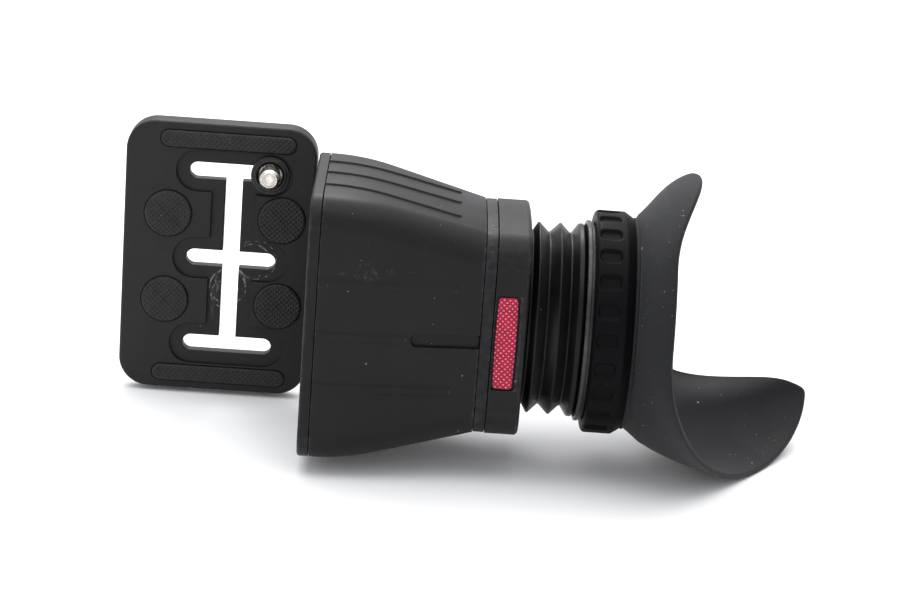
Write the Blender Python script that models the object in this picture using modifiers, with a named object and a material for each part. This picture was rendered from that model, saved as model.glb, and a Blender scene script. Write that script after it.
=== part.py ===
"""Optical finder for a camera screen: slotted camera plate, hinged frame, hood, focusing eyepiece, eyecup.

The optical axis runs along +X towards the eye. The finder lies on its side, so +Y is down in use
and +Z is one of its sides. Everything is parented to an empty where the optical axis meets the
front plane of the frame.
"""

import math

import bmesh
import bpy

MM = 0.001
GAP = 0.3 * MM
CUT = 1.0 * MM
ROUND_END = 0.01 * MM

# Place of the optical axis in the part's own frame: origin under the middle of the bounding box.
AXIS_X = -48.2 * MM
AXIS_Y = -1.5 * MM
AXIS_HEIGHT = 44.2 * MM

# Screen frame
FRAME_HEIGHT = 79.7 * MM
FRAME_DEPTH = 63.7 * MM
FRAME_RADIUS = 9.0 * MM
FRAME_THICK = 3.2 * MM
FRAME_CHAMFER = 0.9 * MM
APERTURE_HEIGHT = 66.0 * MM
APERTURE_DEPTH = 47.0 * MM
APERTURE_RADIUS = 4.0 * MM
REBATE_WIDTH = 3.0 * MM
REBATE_DEEP = 1.0 * MM
GASKET_THICK = 0.7 * MM
MAGNET_RADIUS = 2.5 * MM
MAGNET_THICK = 1.0 * MM
MAGNET_Y = 27.0 * MM
MAGNET_Z = 34.0 * MM
MAGNET_SUNK = 0.2 * MM
POCKET_DEEP = 1.5 * MM

# Hood
HOOD_FRONT = FRAME_THICK + GAP
HOOD_REAR = 50.8 * MM
HOOD_SWELL = 0.5 * MM
HOOD_CHAMFER = 0.9 * MM
HOOD_WALL = 2.2 * MM
HOOD_FLANGE = 3.0 * MM
HOOD_STATIONS = (14.0 * MM, 21.0 * MM, 28.0 * MM, 41.0 * MM)
HOOD_WAIST = 20.0 * MM
REAR_WALL = 2.0 * MM
TAPER_START = 4.0 * MM
TAPER_EASE = 0.4
LINER_SPACE = 0.5 * MM
LINER_WALL = 1.0 * MM
LINER_REAR = 47.5 * MM
HOOD_CORNER_STEPS = 3
CORNER_SHRINK = 0.8
ON_FACE = 0.1 * MM
RIB_HIGH = 0.5 * MM
RIB_HALF = 1.9 * MM
RIB_TOP_HALF = 1.1 * MM
RIB_END = 43.5 * MM
RIB_END_MIDDLE = 30.0 * MM
SIDE_RIBS = (-15.5 * MM, 0.0, 15.5 * MM)
TOP_RIBS = (-13.0 * MM, 0.0, 13.0 * MM)
GROOVE_START = 31.0 * MM
GROOVE_WIDE = 4.0 * MM
GROOVE_DEEP = 1.3 * MM
GROOVE_CUTTER = 8.0 * MM

# Collar
COLLAR_HEIGHT = 64.1 * MM
COLLAR_DEPTH = 56.8 * MM
COLLAR_RADIUS = 10.0 * MM
COLLAR_ARCH = 1.2 * MM
COLLAR_CHAMFER = 0.9 * MM
BAND_START = HOOD_REAR + GAP
BAND_END = 54.2 * MM
BAND_INSET = 0.4 * MM
COLLAR_START = BAND_END + GAP
COLLAR_END = 64.2 * MM
COLLAR_LIP = 2.0 * MM
WINDOW_START = 55.2 * MM
WINDOW_END = 62.0 * MM
WINDOW_HALF = 14.6 * MM
WINDOW_DEEP = 1.4 * MM
WINDOW_RADIUS = 1.2 * MM
TAG_SPACE = 0.4 * MM
TAG_THICK = 0.8 * MM
SCREW_Y = 21.5 * MM
SCREW_Z = 25.5 * MM
SHANK_SMALL = 1.0 * MM
SHANK_HOLE = 1.3 * MM
HEAD_SMALL = 1.9 * MM
HEAD_SEAT = 2.2 * MM
HEAD_DEEP = 1.6 * MM
SCREW_SIDES = 12

# Eyepiece
HOOD_BORE = 24.5 * MM
COLLAR_BORE = 26.4 * MM
GUIDE_START = 47.0 * MM
GUIDE_END = 71.0 * MM
GUIDE_FLANGE_START = 57.2 * MM
GUIDE_OUTER = 23.3 * MM
GUIDE_INNER = 21.8 * MM
GUIDE_FLANGE = 25.2 * MM
TUBE_OUTER = 21.4 * MM
TUBE_INNER = 19.8 * MM
TUBE_FRONT = 56.0 * MM
BELLOWS_START = COLLAR_END + GAP
BELLOWS_END = 80.6 * MM
BELLOWS_CREST = 28.9 * MM
BELLOWS_VALLEY = 25.6 * MM
BELLOWS_WALL = 1.2 * MM
BELLOWS_FOLDS = 3
BELLOWS_STEPS = 4
CELL_START = 80.9 * MM
CELL_END = 98.0 * MM
CELL_OUTER = 28.6 * MM
CELL_BORE = 26.4 * MM
CELL_WEB = 1.6 * MM
FLANGE_OUTER = 30.0 * MM
FLANGE_CHAMFER = 0.3 * MM
FLANGE_END = 83.0 * MM
RING_START = 83.3 * MM
RING_END = 94.6 * MM
RING_OUTER = 33.3 * MM
RING_EDGE = 1.2 * MM
RING_TAPER_START = 92.2 * MM
RING_TAPER_RADIUS = 31.6 * MM
NOTCH_COUNT = 24
NOTCH_SHARE = 0.42
NOTCH_SIDE = 0.05
NOTCH_SLOPE = 0.4 * MM
NOTCH_DEEP = 0.9 * MM
NOTCH_START = 84.4 * MM
NOTCH_END = 90.3 * MM

# Optics: each lens is (front edge, rear edge, front bulge, rear bulge), each ring (front, rear, bore)
LENS_RADIUS = 26.1 * MM
FRONT_LENS = (84.2 * MM, 86.0 * MM, 1.2 * MM, 1.6 * MM)
REAR_LENS = (88.6 * MM, 91.0 * MM, 0.2 * MM, 3.0 * MM)
SPACER = (86.7 * MM, 88.2 * MM, 24.4 * MM)
RETAINER = (92.0 * MM, 93.8 * MM, 23.6 * MM)
LENS_STEPS = 3

# Eyecup: the rim is a circle with a nose flare at the top and a long, skewed temple lobe below.
# Angles are in degrees from straight down, positive away from the near side.
CUP_START = 94.9 * MM
CUP_BASE_RADIUS = 31.3 * MM
CUP_NECK_INNER = 29.1 * MM
CUP_NECK_LONG = 2.4 * MM
CUP_WALL = 1.8 * MM
CUP_RIM_X = 105.0 * MM
CUP_RIM_RADIUS = 44.2 * MM
NOSE_LONG = 8.0 * MM
NOSE_SPREAD = 2.4 * MM
NOSE_HALF = 50.0
LOBE_LONG = 51.0 * MM
LOBE_AT = 12.0
LOBE_NEAR = 115.0
LOBE_FAR = 54.0
LOBE_TURN = 37.0
TURN_AT = 5.0
TURN_NEAR = 150.0
TURN_FAR = 62.0
LOBE_SPREAD = 8.0 * MM
SPREAD_AT = 43.0
SPREAD_HALF = 22.0
CUP_CROWD_AT = 30.0
CUP_CROWD = 26.0
CUP_REACH_SHORT = 11.0 * MM
CUP_REACH_RANGE = 50.0 * MM
CUP_LEAN_SHORT = 0.45
CUP_LEAN_FALL = 0.7
CUP_BASE_SHARE = 0.30
CUP_RIM_SHARE = 0.33
CUP_FLARE = 0.62
CUP_FLARE_MOST = 0.85
CUP_FLARE_REACH = 4.0 * MM
CUP_STEPS_AROUND = 44
CUP_STEPS_ALONG = 7

# Camera plate
PLATE_FACE = 36.7 * MM
PLATE_THICK = 8.0 * MM
PLATE_END = -1.0 * MM
PLATE_LONG = 58.8 * MM
PLATE_HEIGHT = 86.0 * MM
PLATE_RADIUS = 9.3 * MM
PLATE_EDGE = 0.9 * MM
SLOT_X = -26.3 * MM
SLOT_WIDE = 5.2 * MM
SLOT_LONG = 27.7 * MM
SLOT_PITCH = 27.9 * MM
CHANNEL_WIDE = 13.2 * MM
CHANNEL_DEEP = 1.2 * MM
UNDER_DEEP = 3.0 * MM
PAD_POCKET_DEEP = 1.0 * MM
PAD_PROUD = 0.9 * MM
PAD_RADIUS = 7.25 * MM
PAD_LEFT = -46.2 * MM
PAD_RIGHT = -11.0 * MM
PAD_Z = 13.9 * MM
LONG_PAD_LONG = 41.5 * MM
LONG_PAD_WIDE = 5.2 * MM
LONG_PAD_X = -28.5 * MM
LONG_PAD_Z = 37.8 * MM

# Camera screw
STUD_X = -15.3 * MM
STUD_RADIUS = 3.175 * MM
STUD_CHAMFER = 0.7 * MM
STUD_TIP = 31.5 * MM
SHANK_RADIUS = 2.3 * MM
ENTRY_RADIUS = 3.7 * MM
HEAD_RADIUS = 5.8 * MM
HEAD_END = 46.8 * MM
COIN_SLOT = 1.4 * MM
WASHER_OUTER = 6.0 * MM
WASHER_INNER = 3.7 * MM
WASHER_THICK = 1.0 * MM
WASHER_CHAMFER = 0.3 * MM
HEAD_CHAMFER = 0.6 * MM
COIN_SLOT_DEEP = 1.2 * MM
TURNED_SIDES = 20

# Hinge between plate and frame
HINGE_X = 0.0
HINGE_Y = 34.3 * MM
KNUCKLE_RADIUS = 2.0 * MM
PIN_RADIUS = 0.8 * MM
PIN_HOLE = 1.1 * MM
LEAF_HALF = 26.0 * MM
LEAF_END = 3.7 * MM
LEAF_TOP = 37.0 * MM
LEAF_BOTTOM = 43.5 * MM
LEAF_KNUCKLES = ((-26.0 * MM, -14.0 * MM), (-5.0 * MM, 5.0 * MM), (14.0 * MM, 26.0 * MM))
FRAME_KNUCKLES = ((-13.7 * MM, -5.3 * MM), (5.3 * MM, 13.7 * MM))
LEAF_WEB = (-0.4 * MM, 2.0 * MM)
LUG = (0.4 * MM, 2.0 * MM)
LUG_ROOT = 1.5 * MM
LEAF_SCREW_LONG = 5.5 * MM
EDGE_HOLE_LONG = 6.0 * MM
LEAF_SCREW_Z = 14.0 * MM
LEAF_SCREW_Y = 40.4 * MM

PLASTIC = (0.022, 0.022, 0.024)
SOFT_RUBBER = (0.02, 0.02, 0.021)
STEEL = (0.62, 0.61, 0.58)

part_collection = None
cutter_collection = None


def new_collection(name):
    """Make a collection and hang it in the scene."""
    collection = bpy.data.collections.new(name)
    bpy.context.scene.collection.children.link(collection)
    return collection


def material(name, colour, roughness, metallic=0.0):
    """A Principled material."""
    made = bpy.data.materials.new(name)
    made.use_nodes = True
    shader = made.node_tree.nodes["Principled BSDF"]
    shader.inputs["Base Color"].default_value = (*colour, 1.0)
    shader.inputs["Roughness"].default_value = roughness
    shader.inputs["Metallic"].default_value = metallic
    return made


def empty(name, location, parent=None):
    """An empty that stands on a joint's axis."""
    made = bpy.data.objects.new(name, None)
    made.location = location
    made.parent = parent
    made.empty_display_size = 0.01
    part_collection.objects.link(made)
    return made


def object_from(name, bm, parent=None, look=None, smooth=35.0):
    """Turn a bmesh into an object; without a look it is a cutter."""
    mesh = bpy.data.meshes.new(name)
    bm.to_mesh(mesh)
    bm.free()
    made = bpy.data.objects.new(name, mesh)
    made.parent = parent
    if look is None:
        cutter_collection.objects.link(made)
        made.hide_render = True
        made.display_type = "WIRE"
        return made
    part_collection.objects.link(made)
    mesh.materials.append(look)
    mesh.shade_smooth()
    mesh.set_sharp_from_angle(angle=math.radians(smooth))
    return made


def boolean(target, tool, operation="DIFFERENCE"):
    """Cut the tool out of the target, or join it on."""
    modifier = target.modifiers.new(tool.name, "BOOLEAN")
    modifier.object = tool
    modifier.operation = operation
    modifier.solver = "EXACT"


def loft(sections, ring):
    """Skin equal-length sections; ring joins the last to the first, otherwise the ends are capped."""
    bm = bmesh.new()
    rows = [[bm.verts.new(point) for point in section] for section in sections]
    count = len(rows[0])
    pairs = list(zip(rows, rows[1:]))
    if ring:
        pairs.append((rows[-1], rows[0]))
    else:
        bm.faces.new(rows[0])
        bm.faces.new(rows[-1])
    for low, high in pairs:
        for i in range(count):
            j = (i + 1) % count
            bm.faces.new((low[i], low[j], high[j], high[i]))
    bmesh.ops.recalc_face_normals(bm, faces=bm.faces)
    return bm


def outline(half_y, half_z, radius, arch=0.0, side_marks=(), top_marks=(), corner_steps=4):
    """Rounded rectangle in Y and Z, with arched sides and points at the marks across each face."""
    flat_y = half_y - arch
    flat_z = half_z - arch
    run_y = flat_y - radius
    run_z = flat_z - radius
    points = []
    for quarter in range(4):
        turn = quarter * math.pi / 2
        upright = quarter % 2 == 0
        run = run_z if upright else run_y
        reach = flat_y if upright else flat_z
        marks = side_marks if upright else top_marks
        for mark in marks:
            out = reach + arch * (1 - (mark / run) ** 2)
            points.append((out * math.cos(turn) - mark * math.sin(turn),
                           out * math.sin(turn) + mark * math.cos(turn)))
        centre_a = reach - radius
        for step in range(corner_steps + 1):
            angle = step / corner_steps * math.pi / 2
            a = centre_a + radius * math.cos(angle)
            b = run + radius * math.sin(angle)
            points.append((a * math.cos(turn) - b * math.sin(turn),
                           a * math.sin(turn) + b * math.cos(turn)))
    return points


def at_station(points, x):
    """Lift outline points to a station along the optical axis."""
    return [(x, y, z) for y, z in points]


def circle_on(points, radius, x):
    """Circle whose points lie at the same polar angles as an outline's."""
    return [(x, radius * math.cos(math.atan2(z, y)), radius * math.sin(math.atan2(z, y)))
            for y, z in points]


def turned(name, profile, parent, look, steps=48, smooth=35.0):
    """Turn a closed (station, radius) profile about the optical axis with a Screw modifier."""
    area = 0.0
    for (x0, r0), (x1, r1) in zip(profile, profile[1:] + profile[:1]):
        area += x0 * r1 - x1 * r0
    ordered = profile if area > 0 else profile[::-1]
    bm = bmesh.new()
    verts = [bm.verts.new((r, 0.0, x)) for x, r in ordered]
    open_ended = min(r for _, r in profile) == 0.0
    edges = list(zip(verts, verts[1:] + verts[:1]))
    for a, b in edges:
        if open_ended and a.co.x == 0.0 and b.co.x == 0.0:
            continue
        bm.edges.new((a, b))
    made = object_from(name, bm, parent, look)
    made.rotation_euler = (0.0, math.pi / 2, 0.0)
    screw = made.modifiers.new("turn", "SCREW")
    screw.axis = "Z"
    screw.steps = steps
    screw.render_steps = steps
    screw.use_merge_vertices = True
    screw.merge_threshold = 0.00001
    screw.use_smooth_shade = True
    return made


def ring_profile(start, end, inner, outer, chamfer=0.0):
    """Rectangular section, with its outer corners chamfered where a chamfer is given."""
    if chamfer == 0.0:
        return [(start, inner), (start, outer), (end, outer), (end, inner)]
    return [(start, inner), (start, outer - chamfer), (start + chamfer, outer),
            (end - chamfer, outer), (end, outer - chamfer), (end, inner)]


def flat_shape(name, splines, thick, parent, look=None, edge=0.0):
    """Flat outline in X and Z, thick along Y and centred on Y = 0; the first spline is the rim."""
    curve = bpy.data.curves.new(name, "CURVE")
    curve.dimensions = "2D"
    curve.fill_mode = "BOTH"
    curve.extrude = thick / 2 - edge
    curve.bevel_depth = edge
    curve.bevel_resolution = 1
    curve.offset = -edge
    for points in splines:
        spline = curve.splines.new("POLY")
        spline.points.add(len(points) - 1)
        for point, (x, z) in zip(spline.points, points):
            point.co = (x, z, 0.0, 1.0)
        spline.use_cyclic_u = True
    flat = bpy.data.objects.new(name + "_curve", curve)
    bpy.context.scene.collection.objects.link(flat)
    depsgraph = bpy.context.evaluated_depsgraph_get()
    mesh = bpy.data.meshes.new_from_object(flat.evaluated_get(depsgraph))
    bpy.data.objects.remove(flat)
    bm = bmesh.new()
    bm.from_mesh(mesh)
    bpy.data.meshes.remove(mesh)
    bmesh.ops.remove_doubles(bm, verts=bm.verts, dist=0.00001)
    for vert in bm.verts:
        vert.co = (vert.co.x, -vert.co.z, vert.co.y)
    bmesh.ops.recalc_face_normals(bm, faces=bm.faces)
    return object_from(name, bm, parent, look)


def rounded_rectangle(half_x, half_z, radius, steps=4, x=0.0, z=0.0):
    """Outline of a rounded rectangle in X and Z."""
    points = []
    corners = ((1, 1, 0), (-1, 1, 90), (-1, -1, 180), (1, -1, 270))
    for sign_x, sign_z, start in corners:
        for step in range(steps + 1):
            angle = math.radians(start + 90 * step / steps)
            points.append((x + sign_x * (half_x - radius) + radius * math.cos(angle),
                           z + sign_z * (half_z - radius) + radius * math.sin(angle)))
    return points


def rod(name, radius, low, high, axis, parent, look=None, steps=16):
    """Cylinder from one point to another along X, Y or Z."""
    bm = bmesh.new()
    length = max(abs(b - a) for a, b in zip(low, high))
    bmesh.ops.create_cone(bm, cap_ends=True, segments=steps, radius1=radius, radius2=radius,
                          depth=length)
    turn = {"X": (0.0, math.pi / 2, 0.0), "Y": (math.pi / 2, 0.0, 0.0), "Z": (0.0, 0.0, 0.0)}[axis]
    made = object_from(name, bm, parent, look)
    made.rotation_euler = turn
    made.location = [(a + b) / 2 for a, b in zip(low, high)]
    return made


def block(name, low, high, parent, look=None):
    """Box between two corners."""
    bm = bmesh.new()
    bmesh.ops.create_cube(bm, size=1.0)
    for vert in bm.verts:
        vert.co = [(b - a) * c for a, b, c in zip(low, high, vert.co)]
    made = object_from(name, bm, parent, look)
    made.location = [(a + b) / 2 for a, b in zip(low, high)]
    return made


def taper(x):
    """How far the hood has drawn in at a station: 0 at the frame, 1 at the collar."""
    along = max(0.0, (x - TAPER_START) / (HOOD_REAR - TAPER_START))
    if along < TAPER_EASE:
        return along * along / (2 * TAPER_EASE) / (1 - TAPER_EASE / 2)
    return (along - TAPER_EASE / 2) / (1 - TAPER_EASE / 2)


def rib_marks(centres):
    """Places along a face where the ribs' feet and tops need points."""
    marks = []
    for centre in centres:
        for step in (-RIB_HALF, -RIB_TOP_HALF, RIB_TOP_HALF, RIB_HALF):
            marks.append(centre + step)
    return marks


def hood_outline(x, inset, ribs=False, plain=False):
    """Outline of the hood at a station, drawn in by the inset; plain leaves out the ribs' points."""
    k = taper(x)
    half_y = (FRAME_DEPTH / 2 + HOOD_SWELL) * (1 - k) + COLLAR_DEPTH / 2 * k - inset
    half_z = (FRAME_HEIGHT / 2 + HOOD_SWELL) * (1 - k) + COLLAR_HEIGHT / 2 * k - inset
    radius = FRAME_RADIUS * (1 - k) + COLLAR_RADIUS * k - inset * CORNER_SHRINK
    arch = HOOD_SWELL * (1 - k) + COLLAR_ARCH * k
    side_marks = (0.0,) if plain else rib_marks(SIDE_RIBS)
    top_marks = (0.0,) if plain else rib_marks(TOP_RIBS)
    points = outline(half_y, half_z, radius, arch, side_marks, top_marks, HOOD_CORNER_STEPS)
    if not ribs:
        return points
    raised = []
    for y, z in points:
        if abs(y) > half_y - arch - ON_FACE:
            raised.append((y + math.copysign(rib_lift(x, z, SIDE_RIBS, middle_short=True), y), z))
        elif abs(z) > half_z - arch - ON_FACE:
            raised.append((y, z + math.copysign(rib_lift(x, y, TOP_RIBS, middle_short=False), z)))
        else:
            raised.append((y, z))
    return raised


def rib_lift(x, across, centres, middle_short):
    """Height of the ribs at a point of a face."""
    for centre in centres:
        end = RIB_END_MIDDLE if middle_short and centre == 0.0 else RIB_END
        if x < end - ON_FACE and abs(across - centre) < RIB_TOP_HALF + ON_FACE:
            return RIB_HIGH
    return 0.0


def make_front_frame(parent, look):
    """Frame that meets the camera's screen, with a rebate, magnet pockets and hinge lugs."""
    outer = rounded_rectangle(FRAME_DEPTH / 2, FRAME_HEIGHT / 2, FRAME_RADIUS, steps=4)
    slim = rounded_rectangle(FRAME_DEPTH / 2 - FRAME_CHAMFER, FRAME_HEIGHT / 2 - FRAME_CHAMFER,
                             FRAME_RADIUS - FRAME_CHAMFER, steps=4)
    rebate = rounded_rectangle(APERTURE_DEPTH / 2 + REBATE_WIDTH, APERTURE_HEIGHT / 2 + REBATE_WIDTH,
                               APERTURE_RADIUS + REBATE_WIDTH, steps=4)
    hole = rounded_rectangle(APERTURE_DEPTH / 2, APERTURE_HEIGHT / 2, APERTURE_RADIUS, steps=4)
    sections = [at_station(slim, 0.0), at_station(outer, FRAME_CHAMFER),
                at_station(outer, FRAME_THICK - FRAME_CHAMFER), at_station(slim, FRAME_THICK),
                at_station(hole, FRAME_THICK), at_station(hole, REBATE_DEEP),
                at_station(rebate, REBATE_DEEP), at_station(rebate, 0.0)]
    made = object_from("front_frame", loft(sections, ring=True), parent, look)
    for index, (y, z) in enumerate(magnet_places()):
        pocket = rod(f"frame_pocket_{index}", MAGNET_RADIUS + GAP, (FRAME_THICK - POCKET_DEEP, y, z),
                     (FRAME_THICK + CUT, y, z), "X", parent)
        boolean(made, pocket)
    for index, (low, high) in enumerate(FRAME_KNUCKLES):
        lug = block(f"lug_{index}", (LUG[0], FRAME_DEPTH / 2 - LUG_ROOT, low), (LUG[1], HINGE_Y, high),
                    parent)
        boolean(made, lug, "UNION")
        knuckle = rod(f"frame_knuckle_{index}", KNUCKLE_RADIUS, (HINGE_X, HINGE_Y, low),
                      (HINGE_X, HINGE_Y, high), "Z", parent)
        boolean(made, knuckle, "UNION")
    bore = rod("frame_pin_bore", PIN_HOLE, (HINGE_X, HINGE_Y, -LEAF_HALF), (HINGE_X, HINGE_Y, LEAF_HALF),
               "Z", parent)
    boolean(made, bore)
    return made


def magnet_places():
    """The four corners that hold magnets."""
    return [(sy * MAGNET_Y, sz * MAGNET_Z) for sy in (-1, 1) for sz in (-1, 1)]


def make_magnets(name, start, parent, look):
    """Four disc magnets."""
    for index, (y, z) in enumerate(magnet_places()):
        rod(f"{name}_{index + 1}", MAGNET_RADIUS, (start, y, z), (start + MAGNET_THICK, y, z), "X",
            parent, look)


def make_gasket(parent, look):
    """Light seal in the frame's rebate."""
    outer = rounded_rectangle(APERTURE_DEPTH / 2 + REBATE_WIDTH - GAP,
                              APERTURE_HEIGHT / 2 + REBATE_WIDTH - GAP,
                              APERTURE_RADIUS + REBATE_WIDTH - GAP, steps=4)
    hole = rounded_rectangle(APERTURE_DEPTH / 2, APERTURE_HEIGHT / 2, APERTURE_RADIUS, steps=4)
    sections = [at_station(outer, 0.0), at_station(outer, GASKET_THICK), at_station(hole, GASKET_THICK),
                at_station(hole, 0.0)]
    return object_from("frame_gasket", loft(sections, ring=True), parent, look)


def make_housing(parent, look):
    """Hood shell: ribbed outside, flange at the frame, round bore at the collar."""
    stations = sorted((HOOD_FRONT + HOOD_CHAMFER, *HOOD_STATIONS, RIB_END_MIDDLE, RIB_END, HOOD_REAR))
    sections = [at_station(hood_outline(HOOD_FRONT, HOOD_CHAMFER), HOOD_FRONT)]
    sections += [at_station(hood_outline(x, 0.0, ribs=True), x) for x in stations]
    rear = hood_outline(HOOD_REAR, 0.0)
    inside = HOOD_REAR - REAR_WALL
    sections.append(circle_on(rear, HOOD_BORE, HOOD_REAR))
    sections.append(circle_on(rear, HOOD_BORE, inside))
    flange_end = HOOD_FRONT + HOOD_FLANGE
    for x in (inside, HOOD_WAIST, flange_end):
        sections.append(at_station(hood_outline(x, HOOD_WALL), x))
    lip = outline(APERTURE_DEPTH / 2, APERTURE_HEIGHT / 2, APERTURE_RADIUS, 0.0,
                  rib_marks(SIDE_RIBS), rib_marks(TOP_RIBS), HOOD_CORNER_STEPS)
    sections.append(at_station(lip, flange_end))
    sections.append(at_station(lip, HOOD_FRONT))
    made = object_from("housing", loft(sections, ring=True), parent, look)
    for index, (y, z) in enumerate(magnet_places()):
        pocket = rod(f"hood_pocket_{index}", MAGNET_RADIUS + GAP, (HOOD_FRONT - CUT, y, z),
                     (HOOD_FRONT + POCKET_DEEP, y, z), "X", parent)
        boolean(made, pocket)
    for side in (-1, 1):
        boolean(made, groove_cutter(side, parent))
    screw_holes(made, "hood_hole", SHANK_HOLE, inside - CUT, HOOD_REAR + CUT, parent)
    return made


def screw_holes(target, name, radius, start, end, parent):
    """Holes for the four collar screws, between two stations."""
    for index, (y, z) in enumerate(collar_screw_places()):
        boolean(target, rod(f"{name}_{index}", radius, (start, y, z), (end, y, z), "X", parent,
                            steps=SCREW_SIDES))


def groove_cutter(side, parent):
    """Round-ended cutter for the groove that runs to the hood's rear edge."""
    end = HOOD_REAR + GROOVE_WIDE
    middle = (GROOVE_START + end) / 2
    shape = rounded_rectangle((end - GROOVE_START) / 2, GROOVE_WIDE / 2, GROOVE_WIDE / 2 - ROUND_END,
                              x=middle)
    cutter = flat_shape(f"groove_{side}", [shape], GROOVE_CUTTER, parent)
    drop = (FRAME_DEPTH - COLLAR_DEPTH) / 2 / (1 - TAPER_EASE / 2)
    slope = math.atan(drop / (HOOD_REAR - TAPER_START))
    rear_y = COLLAR_DEPTH / 2 - GROOVE_DEEP + GROOVE_CUTTER / 2
    cutter.rotation_euler = (0.0, 0.0, -side * slope)
    reach = HOOD_REAR * math.sin(slope)
    cutter.location = (0.0, side * (rear_y + reach), 0.0)
    return cutter


def make_liner(parent, look):
    """Thin light trap inside the hood."""
    front = HOOD_FRONT + HOOD_FLANGE + GAP
    stations = [front, HOOD_WAIST, LINER_REAR]
    outside = HOOD_WALL + LINER_SPACE
    outer = [at_station(hood_outline(x, outside, plain=True), x) for x in stations]
    inner = [at_station(hood_outline(x, outside + LINER_WALL, plain=True), x) for x in stations]
    return object_from("hood_liner", loft(outer + inner[::-1], ring=True), parent, look)


def collar_outline(inset, steps=4):
    """Outline of collar and band, with arched faces."""
    marks_side = [f * COLLAR_HEIGHT for f in (-0.2, 0.0, 0.2)]
    marks_top = [f * COLLAR_DEPTH for f in (-0.18, 0.0, 0.18)]
    return outline(COLLAR_DEPTH / 2 - inset, COLLAR_HEIGHT / 2 - inset, COLLAR_RADIUS - inset,
                   COLLAR_ARCH, marks_side, marks_top, steps)


def collar_screw_places():
    """Corners where screws hold collar and band to the hood."""
    return [(sy * SCREW_Y, sz * SCREW_Z) for sy in (-1, 1) for sz in (-1, 1)]


def make_band(parent, look):
    """Thin band between hood and collar."""
    shape = collar_outline(BAND_INSET)
    sections = [at_station(shape, BAND_START), at_station(shape, BAND_END),
                circle_on(shape, COLLAR_BORE, BAND_END), circle_on(shape, COLLAR_BORE, BAND_START)]
    made = object_from("collar_band", loft(sections, ring=True), parent, look)
    screw_holes(made, "band_hole", SHANK_HOLE, BAND_START - CUT, BAND_END + CUT, parent)
    return made


def make_collar(parent, look):
    """Rear collar with a window for a tag on each side."""
    shape = collar_outline(0.0)
    slim = collar_outline(COLLAR_CHAMFER)
    lip = COLLAR_END - COLLAR_LIP
    sections = [at_station(shape, COLLAR_START), at_station(shape, COLLAR_END - COLLAR_CHAMFER),
                at_station(slim, COLLAR_END), circle_on(shape, HOOD_BORE, COLLAR_END),
                circle_on(shape, HOOD_BORE, lip), circle_on(shape, COLLAR_BORE, lip),
                circle_on(shape, COLLAR_BORE, COLLAR_START)]
    made = object_from("rear_collar", loft(sections, ring=True), parent, look)
    middle = (WINDOW_START + WINDOW_END) / 2
    half = (WINDOW_END - WINDOW_START) / 2
    for side in (-1, 1):
        window = flat_shape(f"window_{side}",
                            [rounded_rectangle(half, WINDOW_HALF, WINDOW_RADIUS, x=middle)],
                            2 * WINDOW_DEEP, parent)
        window.location = (0.0, side * COLLAR_DEPTH / 2, 0.0)
        boolean(made, window)
    screw_holes(made, "collar_hole", SHANK_HOLE, COLLAR_START - CUT, COLLAR_END + CUT, parent)
    screw_holes(made, "collar_seat", HEAD_SEAT, COLLAR_END - HEAD_DEEP, COLLAR_END + CUT, parent)
    return made


def cap_screw(name, tip, rim, y, z, parent, look):
    """Small screw along X: a shank from its tip, and a flat head sunk just below the rim of its seat."""
    seat = rim - HEAD_DEEP + GAP
    top = rim - GAP
    rows = []
    for x, r in ((tip, SHANK_SMALL), (seat, SHANK_SMALL), (seat, HEAD_SMALL), (top, HEAD_SMALL)):
        rows.append(circle_about(x, y, z, r, SCREW_SIDES))
    return object_from(name, loft(rows, ring=False), parent, look)


def circle_about(x, y, z, radius, sides):
    """Circle across X about a point."""
    turns = [2 * math.pi * i / sides for i in range(sides)]
    return [(x, y + radius * math.cos(t), z + radius * math.sin(t)) for t in turns]


def make_collar_screws(parent, look):
    """Four screws through collar and band into the hood."""
    for index, (y, z) in enumerate(collar_screw_places()):
        cap_screw(f"collar_screw_{index + 1}", HOOD_REAR - REAR_WALL + GAP, COLLAR_END, y, z, parent, look)


def make_tag(name, side, parent, look):
    """Woven tag that lies in the collar's window."""
    half = (WINDOW_END - WINDOW_START) / 2 - TAG_SPACE
    middle = (WINDOW_START + WINDOW_END) / 2
    shape = rounded_rectangle(half, WINDOW_HALF - TAG_SPACE, WINDOW_RADIUS - TAG_SPACE, steps=3, x=middle)
    made = flat_shape(name, [shape], TAG_THICK, parent, look)
    made.location = (0.0, side * (COLLAR_DEPTH / 2 - WINDOW_DEEP + GAP + TAG_THICK / 2), 0.0)
    return made


def make_guide(parent, look):
    """Fixed sleeve that the lens barrel travels in, with a flange inside the collar."""
    flange_end = COLLAR_END - COLLAR_LIP - GAP
    profile = [(GUIDE_START, GUIDE_INNER), (GUIDE_START, GUIDE_OUTER), (GUIDE_FLANGE_START, GUIDE_OUTER),
               (GUIDE_FLANGE_START, GUIDE_FLANGE), (flange_end, GUIDE_FLANGE),
               (flange_end, GUIDE_OUTER), (GUIDE_END, GUIDE_OUTER), (GUIDE_END, GUIDE_INNER)]
    return turned("focus_guide", profile, parent, look, steps=28)


def make_bellows(parent, look):
    """Rubber bellows between collar and flange ring."""
    outer = []
    pitch = (BELLOWS_END - BELLOWS_START) / BELLOWS_FOLDS
    middle = (BELLOWS_CREST + BELLOWS_VALLEY) / 2
    swing = (BELLOWS_CREST - BELLOWS_VALLEY) / 2
    steps = BELLOWS_FOLDS * BELLOWS_STEPS
    for step in range(steps + 1):
        x = BELLOWS_START + pitch * step / BELLOWS_STEPS
        outer.append((x, middle - swing * math.cos(step / BELLOWS_STEPS * 2 * math.pi)))
    inner = [(x, r - BELLOWS_WALL) for x, r in outer]
    return turned("bellows", outer + inner[::-1], parent, look, steps=28, smooth=60.0)


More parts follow.
